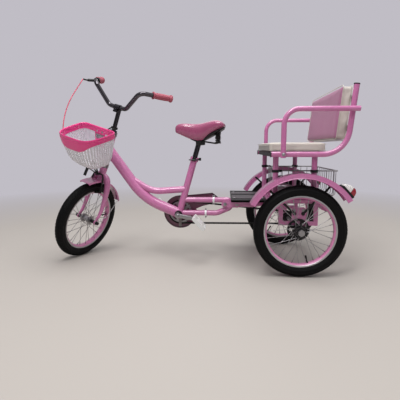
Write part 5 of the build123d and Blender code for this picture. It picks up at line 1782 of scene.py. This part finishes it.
class TRICYCLE_OT_crank(bpy.types.Operator):
    """Makes the chainring, its spider and the two tapered crank arms"""

    bl_idname = "tricycle.crank"
    bl_label = "Cranks"

    def execute(self, context):
        bm = bmesh.new()
        made = toothed_ring(bm, CHAIN_Y, 0.003, 0.050, 0.0578, 0.0632, 30)
        bmesh.ops.translate(bm, vec=BB, verts=made)
        for i in range(5):
            a = math.radians(72 * i)
            way = Vector((math.cos(a), 0.0, math.sin(a)))
            hub = BB + Vector((0, CHAIN_Y, 0))
            tapered_bar(bm, hub + way * 0.012, hub + way * 0.0515, 0.022, 0.014, 0.0028, 0.0028)
        add_rod(bm, BB + Vector((0, -0.0600, 0)), BB + Vector((0, CHAIN_Y + 0.0015, 0)), 0.018, 32, bevel=0.001)
        add_rod(bm, BB + Vector((0, -0.070, 0)), BB + Vector((0, 0.070, 0)), 0.008, 24)
        for side in (1, -1):
            foot = BB + Vector((0, side * 0.066, 0))
            way = Vector((math.cos(CRANK_TURN), 0.0, math.sin(CRANK_TURN))) * side
            tapered_bar(bm, foot, foot + way * 0.115, 0.0205, 0.0150, 0.012, 0.011)
            add_rod(bm, foot - Vector((0, side * 0.0065, 0)), foot + Vector((0, side * 0.0075, 0)), 0.0138, 28,
                    bevel=0.001)
            add_bolt(bm, foot + Vector((0, side * 0.0074, 0)), (0, side, 0), 0.0075, 0.003, washer=False, dome=True)
        obj = piece("crank_arms", bm, "crank", "bright_steel", "bright_steel", soft_angle=35.0)
        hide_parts("crankset")
        return {"FINISHED"}


# z and radius down a fork leg, with x ahead of the steering axis
FORK_LEG = ((-0.0190, 0.008, 0.0, 0.0150), (-0.0225, 0.022, 0.0, 0.0155), (-0.0310, 0.0345, 0.0, 0.0160),
            (-0.0440, 0.0440, 0.0, 0.0162), (-0.0620, 0.0510, 0.0, 0.0160), (-0.0880, 0.0560, 0.0, 0.0150),
            (-0.1250, 0.058, 0.0, 0.0134), (-0.1700, 0.058, 0.0005, 0.0114), (-0.2050, 0.058, 0.004, 0.0096),
            (-0.2300, 0.058, 0.011, 0.0082), (-0.2430, 0.058, 0.0165, 0.0074))


class TRICYCLE_OT_fork(bpy.types.Operator):
    """Makes the front fork, its legs narrowing to the wheel's axle"""

    bl_idname = "tricycle.fork"
    bl_label = "Front fork"

    def execute(self, context):
        bm = bmesh.new()
        add_rod(bm, (0, 0, -0.012), (0, 0, 0.212), 0.0127, 24)
        add_rod(bm, (0, 0, -0.034), (0, 0, 0.0215), 0.0165, 28, r_end=0.0205, bevel=0.0015)
        for side in (1, -1):
            rings = []
            spots = [Vector((x, side * y, z)) for z, y, x, _ in FORK_LEG]
            for i, (spot, row) in enumerate(zip(spots, FORK_LEG)):
                before, after = spots[max(i - 1, 0)], spots[min(i + 1, len(spots) - 1)]
                made = bmesh.ops.create_circle(bm, segments=20, radius=row[3], matrix=axes_to(after - before, spot))
                rings.append(edges_of(made["verts"]))
            for a, b in zip(rings, rings[1:]):
                bmesh.ops.bridge_loops(bm, edges=a + b)
            for ring in (rings[0], rings[-1]):
                bmesh.ops.contextual_create(bm, geom=ring)
            add_rod(bm, (FORK_OFFSET, side * 0.0551, -HUB_DROP), (FORK_OFFSET, side * 0.0609, -HUB_DROP), 0.013, 28,
                    bevel=0.0008)
            tip = Vector((0.0165, side * 0.058, -0.243))
            tapered_bar(bm, tip + Vector((-0.002, 0, 0.012)), (FORK_OFFSET, side * 0.058, -HUB_DROP), 0.013, 0.022,
                        0.0056, 0.0056)
        bmesh.ops.transform(bm, matrix=STEER, verts=bm.verts)
        obj = piece("fork_legs", bm, "steering", "frame_paint", "frame_paint", soft_angle=40.0)
        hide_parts("fork")
        return {"FINISHED"}


class TRICYCLE_OT_fender_trim(bpy.types.Operator):
    """Adds the rear fenders' flat stays and rolled edges"""

    bl_idname = "tricycle.fender_trim"
    bl_label = "Fender stays and edges"

    def execute(self, context):
        bm = bmesh.new()
        for side in (1, -1):
            y = side * 0.2538
            for angle, foot in ((51.0, 0.019), (125.0, -0.019)):
                a = math.radians(angle)
                top = FENDER_AT + Vector((0.2455 * math.cos(a), y, 0.2455 * math.sin(a)))
                low = Vector((foot, y, 0.2775))
                tapered_bar(bm, low, top, 0.0105, 0.0090, 0.0034, 0.0030)
                add_rod(bm, low - Vector((0, side * 0.0042, 0)), low + Vector((0, side * 0.0018, 0)), 0.0082, 20,
                        bevel=0.0006)
                add_bolt(bm, low + Vector((0, side * 0.0018, 0)), (0, side, 0), 0.0046, 0.0026, washer=False)
        obj = piece("fender_bars", bm, "frame", "black_steel", "black_steel")
        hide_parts("fender_stays")
        bm = bmesh.new()
        for side in (1, -1):
            for edge in (1, -1):
                y = side * REAR_HALF_TRACK + edge * 0.0318
                section = ((0.2500, 0.0), (0.2500, edge * 0.0018), (0.2330, edge * 0.0018), (0.2316, edge * 0.0030),
                           (0.2296, edge * 0.0030), (0.2286, edge * 0.0012), (0.2296, -edge * 0.0008),
                           (0.2330, 0.0))
                rings = []
                for i in range(61):
                    a = math.radians(28.1 + 118.3 * i / 60)
                    rings.append([bm.verts.new(FENDER_AT + Vector((r * math.cos(a), y + off, r * math.sin(a))))
                                  for r, off in section])
                for one, two in zip(rings, rings[1:]):
                    for k in range(len(section)):
                        m = (k + 1) % len(section)
                        bm.faces.new((one[k], one[m], two[m], two[k]))
                bm.faces.new(rings[0])
                bm.faces.new(rings[-1][::-1])
        piece("fender_edges", bm, "frame", "frame_paint", "frame_paint")
        return {"FINISHED"}


class TRICYCLE_OT_fasteners(bpy.types.Operator):
    """Adds the bolts, nuts and washers that hold the parts together"""

    bl_idname = "tricycle.fasteners"
    bl_label = "Bolts and nuts"

    def execute(self, context):
        bm = bmesh.new()
        for side in (1, -1):
            for x in (0.268, 0.330):
                add_bolt(bm, (x, side * 0.0250, 0.283), (0, side, 0), 0.0062, 0.005)
            for x in (-0.020, 0.020):
                for z in (0.246, 0.292):
                    add_bolt(bm, (x, side * (0.236 + 0.013), z), (0, side, 0), 0.0048, 0.004)
            arm_y = 0.320 + 0.0228
            add_bolt(bm, (0.090, side * (arm_y + 0.0108), 0.543), (0, side, 0), 0.0052, 0.003, dome=True)
            for x in (0.150, 0.284):
                add_bolt(bm, (x, side * 0.1197, 0.3288), (0, 0, 1), 0.0050, 0.002, dome=True)
        # the guard clips' screws, above and below their tubes
        for x, z in ((0.389, 0.302), (0.430, 0.233)):
            for side in (1, -1):
                add_rod(bm, (x, -0.0065, z + side * 0.0195), (x, 0.0065, z + side * 0.0195), 0.0046, 14, bevel=0.0008)
        piece("frame_bolts", bm, "frame", "bright_steel", "bright_steel")
        bm = bmesh.new()
        for side in (1, -1):
            add_rod(bm, (0, side * 0.3192, WHEEL_R), (0, side * 0.3325, WHEEL_R), 0.0150, 6, bevel=0.001)
        piece("axle_nuts", bm, "drive_axle", "bright_steel", "bright_steel")
        return {"FINISHED"}


PIECE_ORDER = (
    TRICYCLE_OT_camera, TRICYCLE_OT_finishes, TRICYCLE_OT_cable, TRICYCLE_OT_stage, TRICYCLE_OT_tyres,
    TRICYCLE_OT_wheel_parts, TRICYCLE_OT_chain, TRICYCLE_OT_basket, TRICYCLE_OT_basket_band,
    TRICYCLE_OT_bench_cushion, TRICYCLE_OT_backrest, TRICYCLE_OT_saddle, TRICYCLE_OT_saddle_frame,
    TRICYCLE_OT_grips, TRICYCLE_OT_lamps, TRICYCLE_OT_footboard, TRICYCLE_OT_crank, TRICYCLE_OT_fork,
    TRICYCLE_OT_guard, TRICYCLE_OT_fender_trim, TRICYCLE_OT_fasteners,
)


class TRICYCLE_PT_panel(bpy.types.Panel):
    """Lists the tricycle's pieces, sizes and colours in the sidebar"""

    bl_idname = "TRICYCLE_PT_panel"
    bl_label = "Tricycle"
    bl_space_type = "VIEW_3D"
    bl_region_type = "UI"
    bl_category = "Tricycle"

    def draw(self, context):
        layout = self.layout
        for operator in PIECE_ORDER:
            layout.operator(operator.bl_idname)
        for group in (context.scene.tricycle_sizes, context.scene.tricycle_colours):
            for name in group.bl_rna.properties.keys():
                if name not in ("rna_type", "name"):
                    layout.prop(group, name)


CLASSES = (TricycleColours, TricycleSizes, *PIECE_ORDER, TRICYCLE_PT_panel)


def register():
    for kind in CLASSES:
        bpy.utils.register_class(kind)
    bpy.types.Scene.tricycle_colours = PointerProperty(type=TricycleColours)
    bpy.types.Scene.tricycle_sizes = PointerProperty(type=TricycleSizes)


def unregister():
    del bpy.types.Scene.tricycle_sizes
    del bpy.types.Scene.tricycle_colours
    for kind in reversed(CLASSES):
        bpy.utils.unregister_class(kind)


def main():
    register()
    for operator in PIECE_ORDER:
        group, name = operator.bl_idname.split(".")
        getattr(getattr(bpy.ops, group), name)()
    bpy.context.view_layer.update()


if __name__ == "__main__":
    main()
